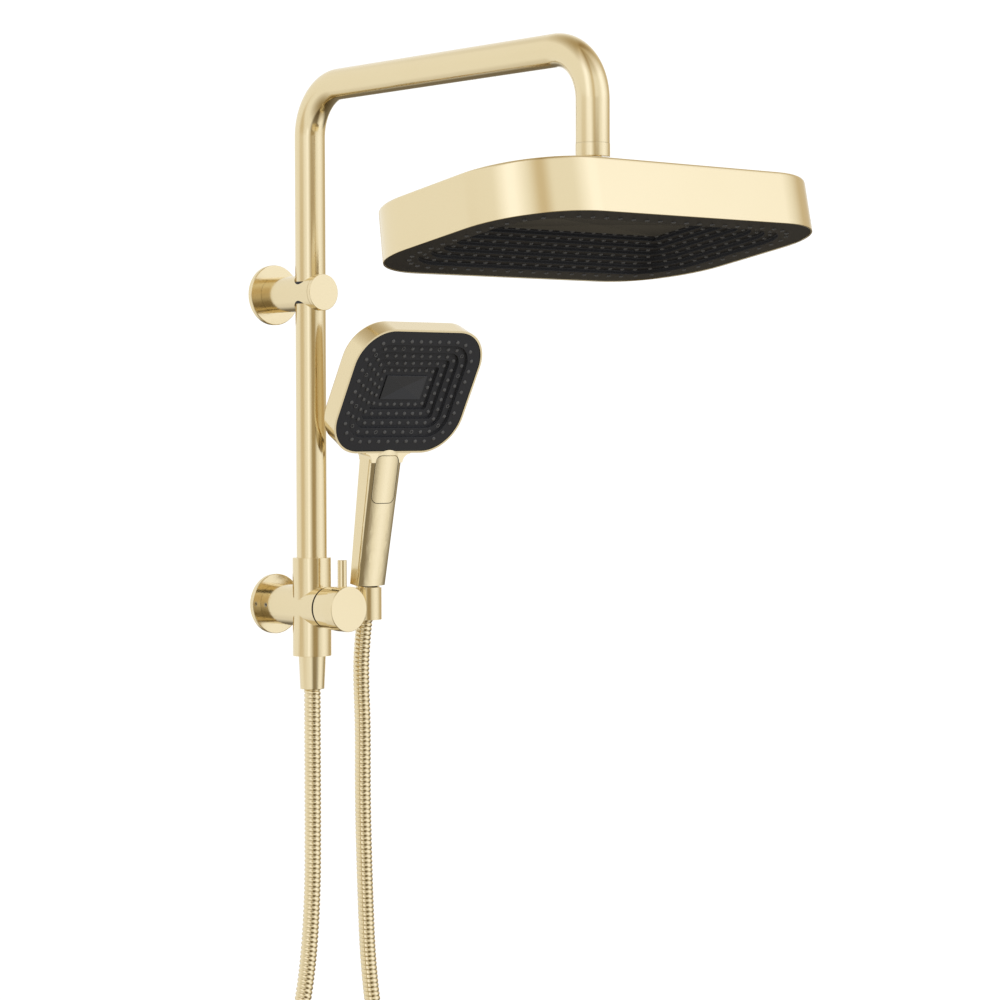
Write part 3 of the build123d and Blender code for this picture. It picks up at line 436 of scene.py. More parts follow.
@dataclass(frozen=True)
class Finish:
    """One surface finish, in the record's material slot.

    Attributes:
        name: Name of the material.
        slot: The record's slot that it belongs to.
        colour: Main colour.
        second: Colour that it drifts towards in soft patches.
        rough: Lowest and highest roughness.
        metallic: 1 for metal.
        grain: How the surface was worked.
        scale: Grain lines or grains per metre, along X, Y and Z.
        relief: Height of the grain in metres.
        centre: Point on the axis of turned grain.
        axis: Axis of turned grain, as a mask over X, Y and Z.
        patch: Patches per metre of the soft drift.
        sheen: Weight of a dusty sheen.
        specular: Level of its mirror reflection.
    """

    name: str
    slot: str
    colour: tuple[float, float, float]
    second: tuple[float, float, float]
    rough: Pair
    metallic: float = 0.0
    grain: Grain = Grain.MOULDED
    scale: tuple[float, float, float] = (3000.0, 3000.0, 3000.0)
    relief: float = 4e-6
    centre: tuple[float, float, float] = (0.0, 0.0, 0.0)
    axis: tuple[float, float, float] = (0.0, 0.0, 1.0)
    patch: float = 18.0
    sheen: float = 0.0
    specular: float = 0.5

    def grain_value(self, graph: Graph, coordinates: bpy.types.NodeSocket) -> bpy.types.NodeSocket:
        """Height of the grain from 0 to 1 over the surface."""
        if self.grain is Grain.TURNED:
            kind = "ShaderNodeVectorMath"
            offset = graph.add(kind, {0: coordinates, 1: self.centre}, operation="SUBTRACT").outputs[0]
            mask = tuple(1.0 - part for part in self.axis)
            flat = graph.add(kind, {0: offset, 1: mask}, operation="MULTIPLY").outputs[0]
            radius = graph.add(kind, {0: flat}, operation="LENGTH").outputs["Value"]
            rings = {"W": graph.maths("MULTIPLY", radius, self.scale[0]), "Scale": 1.0, "Detail": 3.0}
            return graph.add("ShaderNodeTexNoise", rings, noise_dimensions="1D").outputs[0]
        lines = graph.add("ShaderNodeMapping", {"Vector": coordinates, "Scale": self.scale})
        noise = graph.add("ShaderNodeTexNoise", {"Vector": lines.outputs[0], "Scale": 1.0, "Detail": 3.0})
        return noise.outputs[0]

    def build(self) -> bpy.types.Material:
        """Make the material."""
        made = bpy.data.materials.new(self.name)
        made.use_nodes = True
        graph = Graph(made.node_tree)
        coordinates = graph.add("ShaderNodeTexCoord").outputs["Object"]
        grain = self.grain_value(graph, coordinates)
        patches = {"Vector": coordinates, "Scale": self.patch, "Detail": 2.0}
        drift = graph.add("ShaderNodeTexNoise", patches).outputs[0]
        colour = graph.mixed(drift, (*self.colour, 1), (*self.second, 1))
        worn = graph.maths("ADD", graph.maths("MULTIPLY", grain, 0.7), graph.maths("MULTIPLY", drift, 0.3))
        smooth, coarse = self.rough
        span = {"Value": worn, "From Min": 0.3, "From Max": 0.7, "To Min": smooth, "To Max": coarse}
        rough = graph.add("ShaderNodeMapRange", span)
        bump = graph.add("ShaderNodeBump", {"Height": grain, "Distance": self.relief, "Strength": 1.0})
        shader = graph.add(
            "ShaderNodeBsdfPrincipled",
            {
                "Base Color": colour,
                "Metallic": self.metallic,
                "Roughness": rough.outputs[0],
                "Normal": bump.outputs[0],
                "Sheen Weight": self.sheen,
                "Specular IOR Level": self.specular,
            },
        )
        graph.add("ShaderNodeOutputMaterial", {"Surface": shader.outputs[0]})
        return made


GOLD = Finish(
    name="satin_gold",
    slot="gold_metal",
    colour=(0.80, 0.685, 0.44),
    second=(0.785, 0.665, 0.415),
    rough=(0.12, 0.18),
    metallic=1.0,
    grain=Grain.SATIN,
    scale=(2600.0, 2600.0, 60.0),
    relief=8e-7,
)
FACE = Finish(
    name="face_black",
    slot="black_plastic",
    colour=(0.022, 0.0225, 0.0255),
    second=(0.024, 0.0245, 0.0275),
    rough=(0.4, 0.5),
    specular=0.22,
)
FACET = Finish(
    name="facet_black",
    slot="gloss_black",
    colour=(0.008, 0.0085, 0.01),
    second=(0.009, 0.0095, 0.011),
    rough=(0.2, 0.26),
    relief=1e-6,
    specular=0.4,
)
BRASS = Finish(
    name="machined_brass",
    slot="brass",
    colour=(0.72, 0.53, 0.26),
    second=(0.66, 0.48, 0.23),
    rough=(0.22, 0.38),
    metallic=1.0,
    grain=Grain.SATIN,
)


class Palette:
    """All finishes of the shower column, built once each."""

    STOCK = (
        GOLD,
        replace(GOLD, name="satin_gold_outward", scale=(2600.0, 60.0, 2600.0)),
        replace(
            GOLD,
            name="satin_gold_plating",
            slot="gold_plastic",
            scale=(60.0, 60.0, 2600.0),
            rough=(0.12, 0.16),
        ),
        replace(GOLD, name="hose_gold", slot="gold_hose", scale=(900.0,) * 3, rough=(0.12, 0.2)),
        FACE,
        FACET,
        # A lighter copy of the facet black: painted light for the centre insert's right and bottom facets.
        replace(
            FACET,
            name="facet_painted_light",
            colour=(0.022, 0.023, 0.026),
            second=(0.025, 0.026, 0.029),
            rough=(0.24, 0.3),
        ),
        Finish("nozzle_silicone", "grey_silicone", (0.085,) * 3, (0.1,) * 3, (0.45, 0.6), specular=0.3),
        Finish("seal_rubber", "black_rubber", (0.018,) * 3, (0.026,) * 3, (0.6, 0.8), sheen=0.1),
        BRASS,
        replace(
            BRASS,
            name="bright_steel",
            slot="steel",
            colour=(0.56, 0.56, 0.57),
            second=(0.5, 0.5, 0.51),
            rough=(0.2, 0.34),
        ),
        Finish("natural_moulding", "white_plastic", (0.76, 0.75, 0.72), (0.7, 0.69, 0.66), (0.4, 0.5)),
        Finish("liner_white", "ptfe", (0.82, 0.82, 0.8), (0.78, 0.78, 0.75), (0.45, 0.55)),
    )

    def __init__(self) -> None:
        """Build the stock finishes."""
        self.built: dict[str, bpy.types.Material] = {}
        self.finishes = {finish.name: finish for finish in self.STOCK}
        self.by_slot: dict[str, Finish] = {}
        for finish in self.STOCK:
            self.by_slot.setdefault(finish.slot, finish)

    def material(self, finish: Finish | str) -> bpy.types.Material:
        """The material of a finish, or of the stock finish of that name."""
        finish = self.finishes[finish] if isinstance(finish, str) else finish
        if finish.name not in self.built:
            self.built[finish.name] = finish.build()
        return self.built[finish.name]

    def turned_gold(self, name: str, place: Place, slot: str = "gold_metal") -> Finish:
        """Gold with turning rings round a place's axis."""
        mask = tuple(round(abs(part)) for part in place.z)
        return replace(
            GOLD,
            name=name,
            slot=slot,
            grain=Grain.TURNED,
            scale=(3800.0,) * 3,
            centre=tuple(place.origin),
            axis=mask,
        )

    def dress_frame(self) -> None:
        """Give every CAD node the finish of its slot."""
        slots = {part["node"]: part["material_slot"] for part in frame["record"]["subparts"]}
        for node, thing in frame["nodes"].items():
            thing.data.materials.clear()
            thing.data.materials.append(self.material(self.by_slot[slots[node]]))


PALETTE = Palette()


def fitted(piece: bpy.types.Object, finish: Finish | str, body: str | None, *nodes: str) -> bpy.types.Object:
    """Dress a piece, ride it on its body and let it stand for its CAD nodes.

    Args:
        piece: The piece.
        finish: Its finish, or the name of a stock one.
        body: The body that it moves with, or None for a piece that rides on no body.
        *nodes: The CAD nodes that it replaces.

    Returns:
        The same piece.
    """
    finish = PALETTE.finishes[finish] if isinstance(finish, str) else finish
    piece.data.materials.clear()
    piece.data.materials.append(PALETTE.material(finish))
    if body:
        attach(piece, body)
    if nodes:
        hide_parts(*nodes)
    log.info("%s: %d faces on %s", piece.name, len(piece.data.polygons), body or "two bodies")
    return piece


# ---------------------------------------------------------------- hose
@dataclass
class ShowerHose:
    """Spiral-wound gold hose, hanging in one loop from the tee to the hand spray.

    Attributes:
        route: (X, distance out from the riser's axis, Z) of the line's control points.
        pitch: Distance from one wound band to the next.
        groove: Depth of the groove between bands.
        fullness: Power of the band's rounding, lower for a fuller band.
        diameter: Outside diameter.
        step: Length of one stretch of the mesh.
        sides: Facets round the hose.
        lift_starts: (X, Z) up to which the hose stays with the tee. Not used.
        lift_ends: (X, Z) from which it follows the hand spray. Not used.
    """

    route: tuple[tuple[float, float, float], ...] = (
        (0.0, 0.0, -0.0681),
        (0.0, 0.0, -0.112),
        (-0.0008, 0.001, -0.172),
        (-0.0018, 0.0016, -0.242),
        (-0.0096, 0.003, -0.312),
        (-0.031, 0.006, -0.384),
        (-0.068, 0.009, -0.452),
        (-0.098, 0.012, -0.526),
        (-0.094, 0.014, -0.6),
        (-0.042, 0.014, -0.656),
        (0.034, 0.012, -0.671),
        (0.105, 0.008, -0.654),
        (0.146, 0.004, -0.6),
        (0.146, 0.0, -0.526),
        (0.112, -0.003, -0.452),
        (0.074, -0.005, -0.388),
        (0.0626, -0.006, -0.312),
        (0.0599, -0.0066, -0.24),
        (0.0576, -0.0064, -0.166),
        (0.0586, -0.0068, -0.104),
        (0.0576, -0.008, -0.064),
        (0.0572, -0.00634, -0.0367),
        (0.0572, -0.00226, -0.01306),
    )
    pitch: float = 3.8 * MM
    groove: float = 1.15 * MM
    fullness: float = 0.6
    diameter: float = 13.8 * MM
    step: float = 0.38 * MM
    sides: int = 16
    lift_starts: Pair = (0.007, -0.068)
    lift_ends: Pair = (0.0637, -0.0442)

    def line(self, riser_y: float) -> bpy.types.Object:
        """The hose's centreline, a smooth curve of one open spline."""
        curve = bpy.data.curves.new("hose_line", "CURVE")
        curve.dimensions = "3D"
        spline = curve.splines.new("NURBS")
        spline.points.add(len(self.route) - 1)
        for point, (x, out, z) in zip(spline.points, self.route):
            point.co = (x, riser_y - out, z, 1.0)
        spline.order_u = 3
        spline.use_endpoint_u = True
        curve.resolution_u = 24
        return linked("hose_line", curve)

    def ribs(self) -> Rig:
        """Tree that sweeps a round section along the line and winds a spiral groove in it."""
        rig = Rig(
            "wound_hose",
            {
                "Radius": ("Float", 0.006),
                "Pitch": ("Float", 0.005),
                "Groove": ("Float", 0.001),
                "Step": ("Float", 0.001),
                "Sides": ("Int", 12),
                "Material": ("Material", None),
            },
        )
        given = rig.given
        spacing = {"Curve": given["Geometry"], "Length": given["Step"]}
        even = rig.add("GeometryNodeResampleCurve", spacing, mode="LENGTH")
        run = rig.add("GeometryNodeSplineParameter").outputs["Length"]
        line = rig.add("GeometryNodeCaptureAttribute", {0: even.outputs[0]})
        line.capture_items.new("FLOAT", "Run")
        rig.tree.links.new(run, line.inputs[1])
        circle = rig.circle(given["Sides"], given["Radius"])
        turn = rig.add("GeometryNodeSplineParameter").outputs["Factor"]
        section = rig.add("GeometryNodeCaptureAttribute", {0: circle})
        section.capture_items.new("FLOAT", "Turn")
        rig.tree.links.new(turn, section.inputs[1])
        tube = rig.swept(line.outputs[0], section.outputs[0], True)
        wound = rig.maths("ADD", rig.maths("DIVIDE", line.outputs[1], given["Pitch"]), section.outputs[1])
        wave = rig.maths("ABSOLUTE", rig.maths("SINE", rig.maths("MULTIPLY", wound, math.pi)))
        crown = rig.maths("POWER", wave, self.fullness)
        sink = rig.maths("MULTIPLY", rig.maths("SUBTRACT", crown, 1.0), given["Groove"])
        normal = rig.add("GeometryNodeInputNormal").outputs[0]
        offset = rig.add("ShaderNodeVectorMath", {0: normal, "Scale": sink}, operation="SCALE")
        shaped = rig.add("GeometryNodeSetPosition", {"Geometry": tube, "Offset": offset.outputs[0]})
        smooth = rig.add("GeometryNodeSetShadeSmooth", {"Geometry": shaped.outputs[0]})
        rig.close(smooth.outputs[0])
        return rig

    def build(self, riser_y: float) -> None:
        line = self.line(riser_y)
        plain = bpy.data.meshes.new_from_object(line.evaluated_get(bpy.context.evaluated_depsgraph_get()))
        path = [tuple(vertex.co) for vertex in plain.vertices]
        bpy.data.meshes.remove(plain)
        length = sum(math.dist(a, b) for a, b in zip(path, path[1:]))
        log.info("hose: %.3f m along its centreline", length)
        hose = self.ribs().made(
            line,
            "wound_hose",
            Radius=self.diameter / 2,
            Pitch=self.pitch,
            Groove=self.groove,
            Step=self.step,
            Sides=self.sides,
            Material=PALETTE.material("hose_gold"),
        )
        fitted(hose, "hose_gold", None, "hose")
        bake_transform(hose)
        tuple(path[0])


# ---------------------------------------------------------------- wall fixings and riser
@dataclass
class WallRose:
    """Round cover plate on the wall.

    Attributes:
        name: Name of the piece.
        node: The CAD node that it stands for.
        bore: Radius of its hole.
        ease: Rounding of its edges.
        dish: Fall of its front towards the hole.
    """

    name: str
    node: str
    bore: float
    ease: float = 0.7 * MM
    dish: float = 0.15 * MM

    def build(self) -> None:
        """Turn the rose about its own axis."""
        low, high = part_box(self.node)
        centre = (low + high) / 2
        radius, thick = (high.x - low.x) / 2, high.y - low.y
        place = Place(Vector((centre.x, high.y, centre.z)), Vector((0, -1, 0)))
        shape = [(self.bore, 0), (radius, 0), (radius, thick), (self.bore, thick - self.dish)]
        outline = eased([*shape, shape[0]], self.ease)
        piece = turned(self.name, place, outline[:-1], looped=True)
        fitted(piece, PALETTE.turned_gold(self.name + "_finish", place), "root", self.node)


@dataclass
class Riser:
    """The bent riser tube and the bracket that holds it to the wall.

    Attributes:
        bend: Centreline radius of both bends.
        tube_end: Height of the down tube's end over the ball's centre.
        ease: Rounding of the bracket's edges.
        arc_points: Points in each bend.
        sides: Facets round the tube.
    """

    bend: float = 40.0 * MM
    tube_end: float = 24.8 * MM
    ease: float = 0.4 * MM
    arc_points: int = 28
    sides: int = 64

    def centreline(self, radius: float) -> bpy.types.Object:
        """Runs of the tube's axis, with sharp corners, from the frame's own tube."""
        low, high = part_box("riser_tube")
        riser_y, drop_y, arm_z = high.y - radius, low.y + radius, high.z - radius
        end_z = joint("overhead_tilt")["pos_m"][2] + self.tube_end
        corners = [(0, riser_y, low.z), (0, riser_y, arm_z), (0, drop_y, arm_z), (0, drop_y, end_z)]
        curve = bpy.data.curves.new("riser_line", "CURVE")
        curve.dimensions = "3D"
        spline = curve.splines.new("POLY")
        spline.points.add(len(corners) - 1)
        for point, corner in zip(spline.points, corners):
            point.co = (*corner, 1.0)
        return linked("riser_line", curve)

    def bender(self) -> Rig:
        """Tree that bends the runs and sweeps a round tube along them."""
        inputs = {
            "Bend": ("Float", 0.04),
            "Radius": ("Float", 0.0125),
            "Arc Points": ("Int", 24),
            "Sides": ("Int", 64),
            "Material": ("Material", None),
        }
        rig = Rig("bent_tube", inputs)
        given = rig.given
        bends = {"Curve": given["Geometry"], "Radius": given["Bend"], "Count": given["Arc Points"]}
        bent = rig.add("GeometryNodeFilletCurve", {**bends, "Limit Radius": True}, mode="POLY")
        rig.close(rig.swept(bent.outputs[0], rig.circle(given["Sides"], given["Radius"]), True))
        return rig

    def build(self) -> None:
        """Make the tube and dress the bracket."""
        low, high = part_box("riser_tube")
        radius = (high.x - low.x) / 2
        tube = self.bender().made(
            self.centreline(radius),
            "bent_riser",
            Bend=self.bend,
            Radius=radius,
            Arc_Points=self.arc_points,
            Sides=self.sides,
            Material=PALETTE.material("satin_gold"),
        )
        for polygon in tube.data.polygons:
            polygon.use_smooth = len(polygon.vertices) == 4
        fitted(tube, "satin_gold", "root", "riser_tube")
        arm = refined("bracket_arm", self.ease, "wall_bracket")
        fitted(arm, "satin_gold_outward", "root", "bracket_arm")
        low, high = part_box("bracket_cap")
        place = Place(Vector((0, high.y, (low.z + high.z) / 2)), Vector((0, -1, 0)))
        radius, thick = (high.x - low.x) / 2, high.y - low.y
        disc = eased([(0, 0), (radius, 0), (radius, thick), (0, thick)], self.ease)
        cap = turned("wall_bracket_cap", place, disc)
        fitted(cap, PALETTE.turned_gold("cap_finish", place), "root", "bracket_cap")


# ---------------------------------------------------------------- diverter tee
@dataclass
class DiverterTee:
    """Tee under the riser with its turning knob, lever pin and hand-spray holder.

    Attributes:
        knob: (radius, distance from the wall) points of the knob's outside.
        spacer_shade_ring: Inner and outer radius, and distances from the wall, of the black ring behind it, which
            is partly the spacer and partly painted shade in the groove behind the knob.
        knob_ease: Rounding of the knob's edges.
        ease: Rounding of the tee's and holder's edges.
        pin_ease: Rounding of the lever pin's ends.
    """

    knob: tuple[Pair, ...] = (
        (4.1, 76.2),
        (17.25, 76.2),
        (18.5, 91.0),
        (18.5, 102.2),
        (0.0, 102.2),
    )
    spacer_shade_ring: tuple[float, float, float, float] = (13.5, 16.2, 74.15, 76.1)
    knob_ease: float = 0.7 * MM
    ease: float = 0.4 * MM
    pin_ease: float = 0.6 * MM

    def build_knob(self) -> None:
        """Turn the knob, the black ring behind it and its lever pin; the ring is partly the spacer and, drawn
        wider than it, partly painted shade in the groove behind the knob.
        """
        place = Place(Vector((0, 0, 0)), Vector((0, -1, 0)))
        outline = [(0.0, self.knob[0][1] * MM), *((r * MM, out * MM) for r, out in self.knob[1:])]
        knob = turned("turned_knob", place, eased(outline, self.knob_ease), 128)
        fitted(knob, PALETTE.turned_gold("knob_finish", place), "diverter", "diverter_knob")
        # Painted shade: this black ring is wider than the spacer, so that it also darkens the groove between knob
        # and tee where shade falls.
        inner, outer, low, high = (part * MM for part in self.spacer_shade_ring)
        square = [(inner, low), (outer, low), (outer, high), (inner, high)]
        ring = turned("knob_spacer_shade_ring", place, square, looped=True)
        fitted(ring, "face_black", "root", "knob_spacer")
        low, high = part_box("lever_pin")
        radius = (high.x - low.x) / 2
        foot = Place(Vector(((low.x + high.x) / 2, (low.y + high.y) / 2, low.z)), Vector((0, 0, 1)))
        length = high.z - low.z
        rod = eased([(0, 0), (radius, 0), (radius, length), (0, length)], self.pin_ease)
        pin = turned("lever_rod", foot, rod, 48)
        fitted(pin, "satin_gold", "diverter", "lever_pin")

    def build(self) -> None:
        """Make the tee, the knob and the holder."""
        fitted(refined("tee_body", self.ease, "tee_casting"), "satin_gold", "root", "tee_body")
        fitted(refined("holder_cup", self.ease, "handset_holder"), "satin_gold", "root", "holder_cup")
        self.build_knob()


@dataclass
class ConeNut:
    """Tapered nut at an end of the hose.

    Attributes:
        name: Name of the piece.
        node: The CAD node that it stands for.
        body: Body that it moves with.
        place: Centre of its foot, with z towards its threaded end.
        foot_radius: Outside radius at the hose.
        top_radius: Outside radius at the threaded end.
        length: Height from foot to threaded end.
        mouth: Radius of the hole for the hose.
        thread: Radius of the threaded hole.
        ledge: Height of the ledge between the two holes.
        ease: Rounding of its edges.
    """

    name: str
    node: str
    body: str
    place: Place
    foot_radius: float = 9.9 * MM
    top_radius: float = 11.2 * MM
    length: float = 27.4 * MM
    mouth: float = 7.0 * MM
    thread: float = 9.55 * MM
    ledge: float = 12.0 * MM
    ease: float = 0.5 * MM

    def build(self) -> None:
        """Turn the nut with its mouth for the hose and its threaded end."""
        shape = [
            (self.mouth, 0.0),
            (self.foot_radius, 0.0),
            (self.top_radius, self.length),
            (self.thread, self.length),
            (self.thread, self.ledge),
            (self.mouth, self.ledge),
        ]
        outline = eased([*shape, shape[0]], self.ease)
        piece = turned(self.name, self.place, outline[:-1], looped=True)
        fitted(piece, "satin_gold", self.body, self.node)


# ---------------------------------------------------------------- stepped spray faces
@dataclass
class SprayDish:
    """Black stepped face with soft nozzles on its treads and a faceted centre.

    Attributes:
        name: Start of the pieces' and nodes' names.
        body: Body that it moves with.
        place: Its front plane, with z into the spray.
        half: Half sizes of the rim's outside.
        corner: Corner radius of the rim's outside.
        lip: Width of the metal rim.
        thick: Thickness of the face.
        rim: Rim's outside to the first step.
        pitch: Width of a tread.
        drop: Depth of a step.
        ring: Rim's outside to the outermost nozzles.
        counts: Nozzles in each ring, from the outside in.
        open_nozzles: Places of ring-shaped nozzles in the second ring, each way from its start.
        ease: Rounding of the steps.
        facet_margin: Last tread's inner edge to the centre insert.
        facet_thick: Thickness of the centre insert.
        facet_edge: Width of the eased edge round it.
        facet_depth: Fall of its facets to the middle.
        nozzle_radius: Radius of a nozzle.
        nozzle_height: Height of a nozzle over its tread.
        nozzle_sides: Facets round a nozzle.
    """

    name: str
    body: str
    place: Place
    half: Pair
    corner: float
    lip: float
    thick: float
    rim: float
    pitch: float
    drop: float
    ring: float
    counts: tuple[int, ...]
    open_nozzles: tuple[int, ...] = ()
    ease: float = 0.55 * MM
    facet_margin: float = 8.6 * MM
    facet_thick: float = 1.2 * MM
    facet_edge: float = 0.2 * MM
    facet_depth: float = 0.95 * MM
    nozzle_radius: float = 1.55 * MM
    nozzle_height: float = 0.9 * MM
    nozzle_sides: int = 14

    @property
    def steps(self) -> int:
        """Number of steps down to the centre."""
        return len(self.counts) - 1

    def build_face(self) -> None:
        """Loft the stepped face."""
        block, total = self.rim - self.thick, self.steps * self.drop + self.thick
        outline = [(block, total), (block, self.thick), (self.lip, self.thick), (self.lip, 0.0)]
        for step in range(self.steps):
            inset = self.rim + step * self.pitch
            outline += [(inset, step * self.drop), (inset, (step + 1) * self.drop)]
        outline.append((self.rim + self.steps * self.pitch, self.steps * self.drop))
        bm = bmesh.new()
        add_lofted(bm, self.place, self.half, self.corner, eased(outline, self.ease, 3))
        piece = settled(closed_mesh(bm, self.name + "_stepped_face", 60.0))
        fitted(piece, "face_black", self.body, self.name + "_face")

    def nozzle_points(self) -> bpy.types.Object:
        """Loose points where the nozzles stand, in the dish's own coordinates, marked if ring-shaped."""
        points, hollow = [], []
        for ring, count in enumerate(self.counts):
            inset = self.rim + (ring - 0.5) * self.pitch if ring else self.ring
            half = (self.half[0] - inset, self.half[1] - inset)
            places = ring_places(half, max(self.corner - inset, LEAST_CORNER), count, ring % 2 == 0)
            for index, (x, y) in enumerate(places):
                points.append((x, y, ring * self.drop))
                nearest = min(index, count - index)
                hollow.append(ring == 1 and nearest in self.open_nozzles)
        mesh = bpy.data.meshes.new("nozzle_places")
        mesh.from_pydata(points, [], [])
        marks = mesh.attributes.new("hollow", "BOOLEAN", "POINT")
        marks.data.foreach_set("value", hollow)
        return linked("nozzle_places", mesh)

    @staticmethod
    def nozzle_rig() -> Rig:
        """Tree that stands a soft nozzle, solid or ring-shaped, on each point."""
        inputs = {
            "Radius": ("Float", 0.0015),
            "Height": ("Float", 0.001),
            "Sides": ("Int", 12),
            "Material": ("Material", None),
        }
        rig = Rig("soft_nozzles", inputs)
        given = rig.given

        def part(name: str, share: float) -> bpy.types.NodeSocket:
            """A share of the nozzle's radius or height."""
            return rig.maths("MULTIPLY", given[name], share)

        def cone(foot: float, top: float, height: float) -> bpy.types.NodeSocket:
            """A cone with its sizes as shares of the nozzle's."""
            sizes = {
                "Vertices": given["Sides"],
                "Radius Top": part("Radius", top),
                "Radius Bottom": part("Radius", foot),
                "Depth": part("Height", height),
            }
            return rig.add("GeometryNodeMeshCone", sizes).outputs[0]

        foot, shoulder, tip, neck = 1.08, 0.9, 0.6, 0.8
        collar = cone(foot, shoulder, neck)
        end = cone(shoulder, tip, 1.0 - neck)
        raised = rig.add("ShaderNodeCombineXYZ", {"Z": part("Height", neck)})
        capped = rig.add("GeometryNodeTransform", {0: end, "Translation": raised.outputs[0]})
        solid = rig.add("GeometryNodeJoinGeometry")
        rig.tree.links.new(collar, solid.inputs[0])
        rig.tree.links.new(capped.outputs[0], solid.inputs[0])
        loop, bead = 0.95, 0.3
        round_hole = rig.circle(given["Sides"], part("Radius", loop))
        hoop = rig.swept(round_hole, rig.circle(8, part("Radius", bead)), False)
        mark = rig.add("GeometryNodeInputNamedAttribute", {"Name": "hollow"}, data_type="BOOLEAN")
        hollow = mark.outputs[0]
        full = rig.add("FunctionNodeBooleanMath", {0: hollow}, operation="NOT").outputs[0]
        ends = rig.add("GeometryNodeJoinGeometry")
        down = (math.pi, 0.0, 0.0)
        for shape, chosen in ((solid.outputs[0], full), (hoop, hollow)):
            stand = {"Points": given["Geometry"], "Selection": chosen, "Instance": shape, "Rotation": down}
            stood = rig.add("GeometryNodeInstanceOnPoints", stand)
            rig.tree.links.new(stood.outputs[0], ends.inputs[0])
        rig.close(ends.outputs[0])
        return rig

    def build_nozzles(self, rig: Rig) -> None:
        """Stand the nozzles on the treads."""
        piece = rig.made(
            self.nozzle_points(),
            self.name + "_soft_nozzles",
            Radius=self.nozzle_radius,
            Height=self.nozzle_height,
            Sides=self.nozzle_sides,
            Material=PALETTE.material("nozzle_silicone"),
        )
        piece.data.transform(self.place.matrix)
        bm = bmesh.new()
        bm.from_mesh(piece.data)
        bpy.data.objects.remove(piece)
        bmesh.ops.remove_doubles(bm, verts=bm.verts, dist=1e-7)
        piece = closed_mesh(bm, self.name + "_soft_nozzles", 50.0)
        fitted(piece, "nozzle_silicone", self.body, self.name + "_nozzle_mat")

    def build_facet(self) -> None:
        """Make the centre insert, four shallow facets that fall to its middle; its right and bottom facets are
        dressed in a lighter copy of its black, as painted light.
        """
        inset = self.rim + (self.steps - 1) * self.pitch + self.facet_margin
        half_x, half_y = self.half[0] - inset, self.half[1] - inset
        front = self.steps * self.drop - self.facet_thick
        bm = bmesh.new()
        rings = []
        edge = self.facet_edge
        for margin, depth in ((0.0, front + self.facet_thick), (0.0, front + edge), (edge, front)):
            x, y = half_x - margin, half_y - margin
            corners = ((x, y), (-x, y), (-x, -y), (x, -y))
            rings.append([bm.verts.new(self.place.matrix @ Vector((*at, depth))) for at in corners])
        rings.append([bm.verts.new(self.place.matrix @ Vector((0, 0, front + self.facet_depth)))])
        skin(bm, rings)
        piece = closed_mesh(bm, self.name + "_centre_facets", 0.5)
        fitted(piece, "facet_black", self.body, self.name + "_centre_facet")
        piece.data.materials.append(PALETTE.material("facet_painted_light"))
        # Painted light and shade: the right and bottom facets take the lighter copy of the facet black and the top
        # and left facets keep the darker one, as if light fell from the right and below.
        back = self.place.matrix.inverted()
        for polygon in piece.data.polygons:
            at = back @ polygon.center
            polygon.material_index = int(at.x / half_x > at.y / half_y)

    def build(self, rig: Rig) -> None:
        """Make the face, its nozzles and its centre."""
        self.build_face()
        self.build_nozzles(rig)
        self.build_facet()


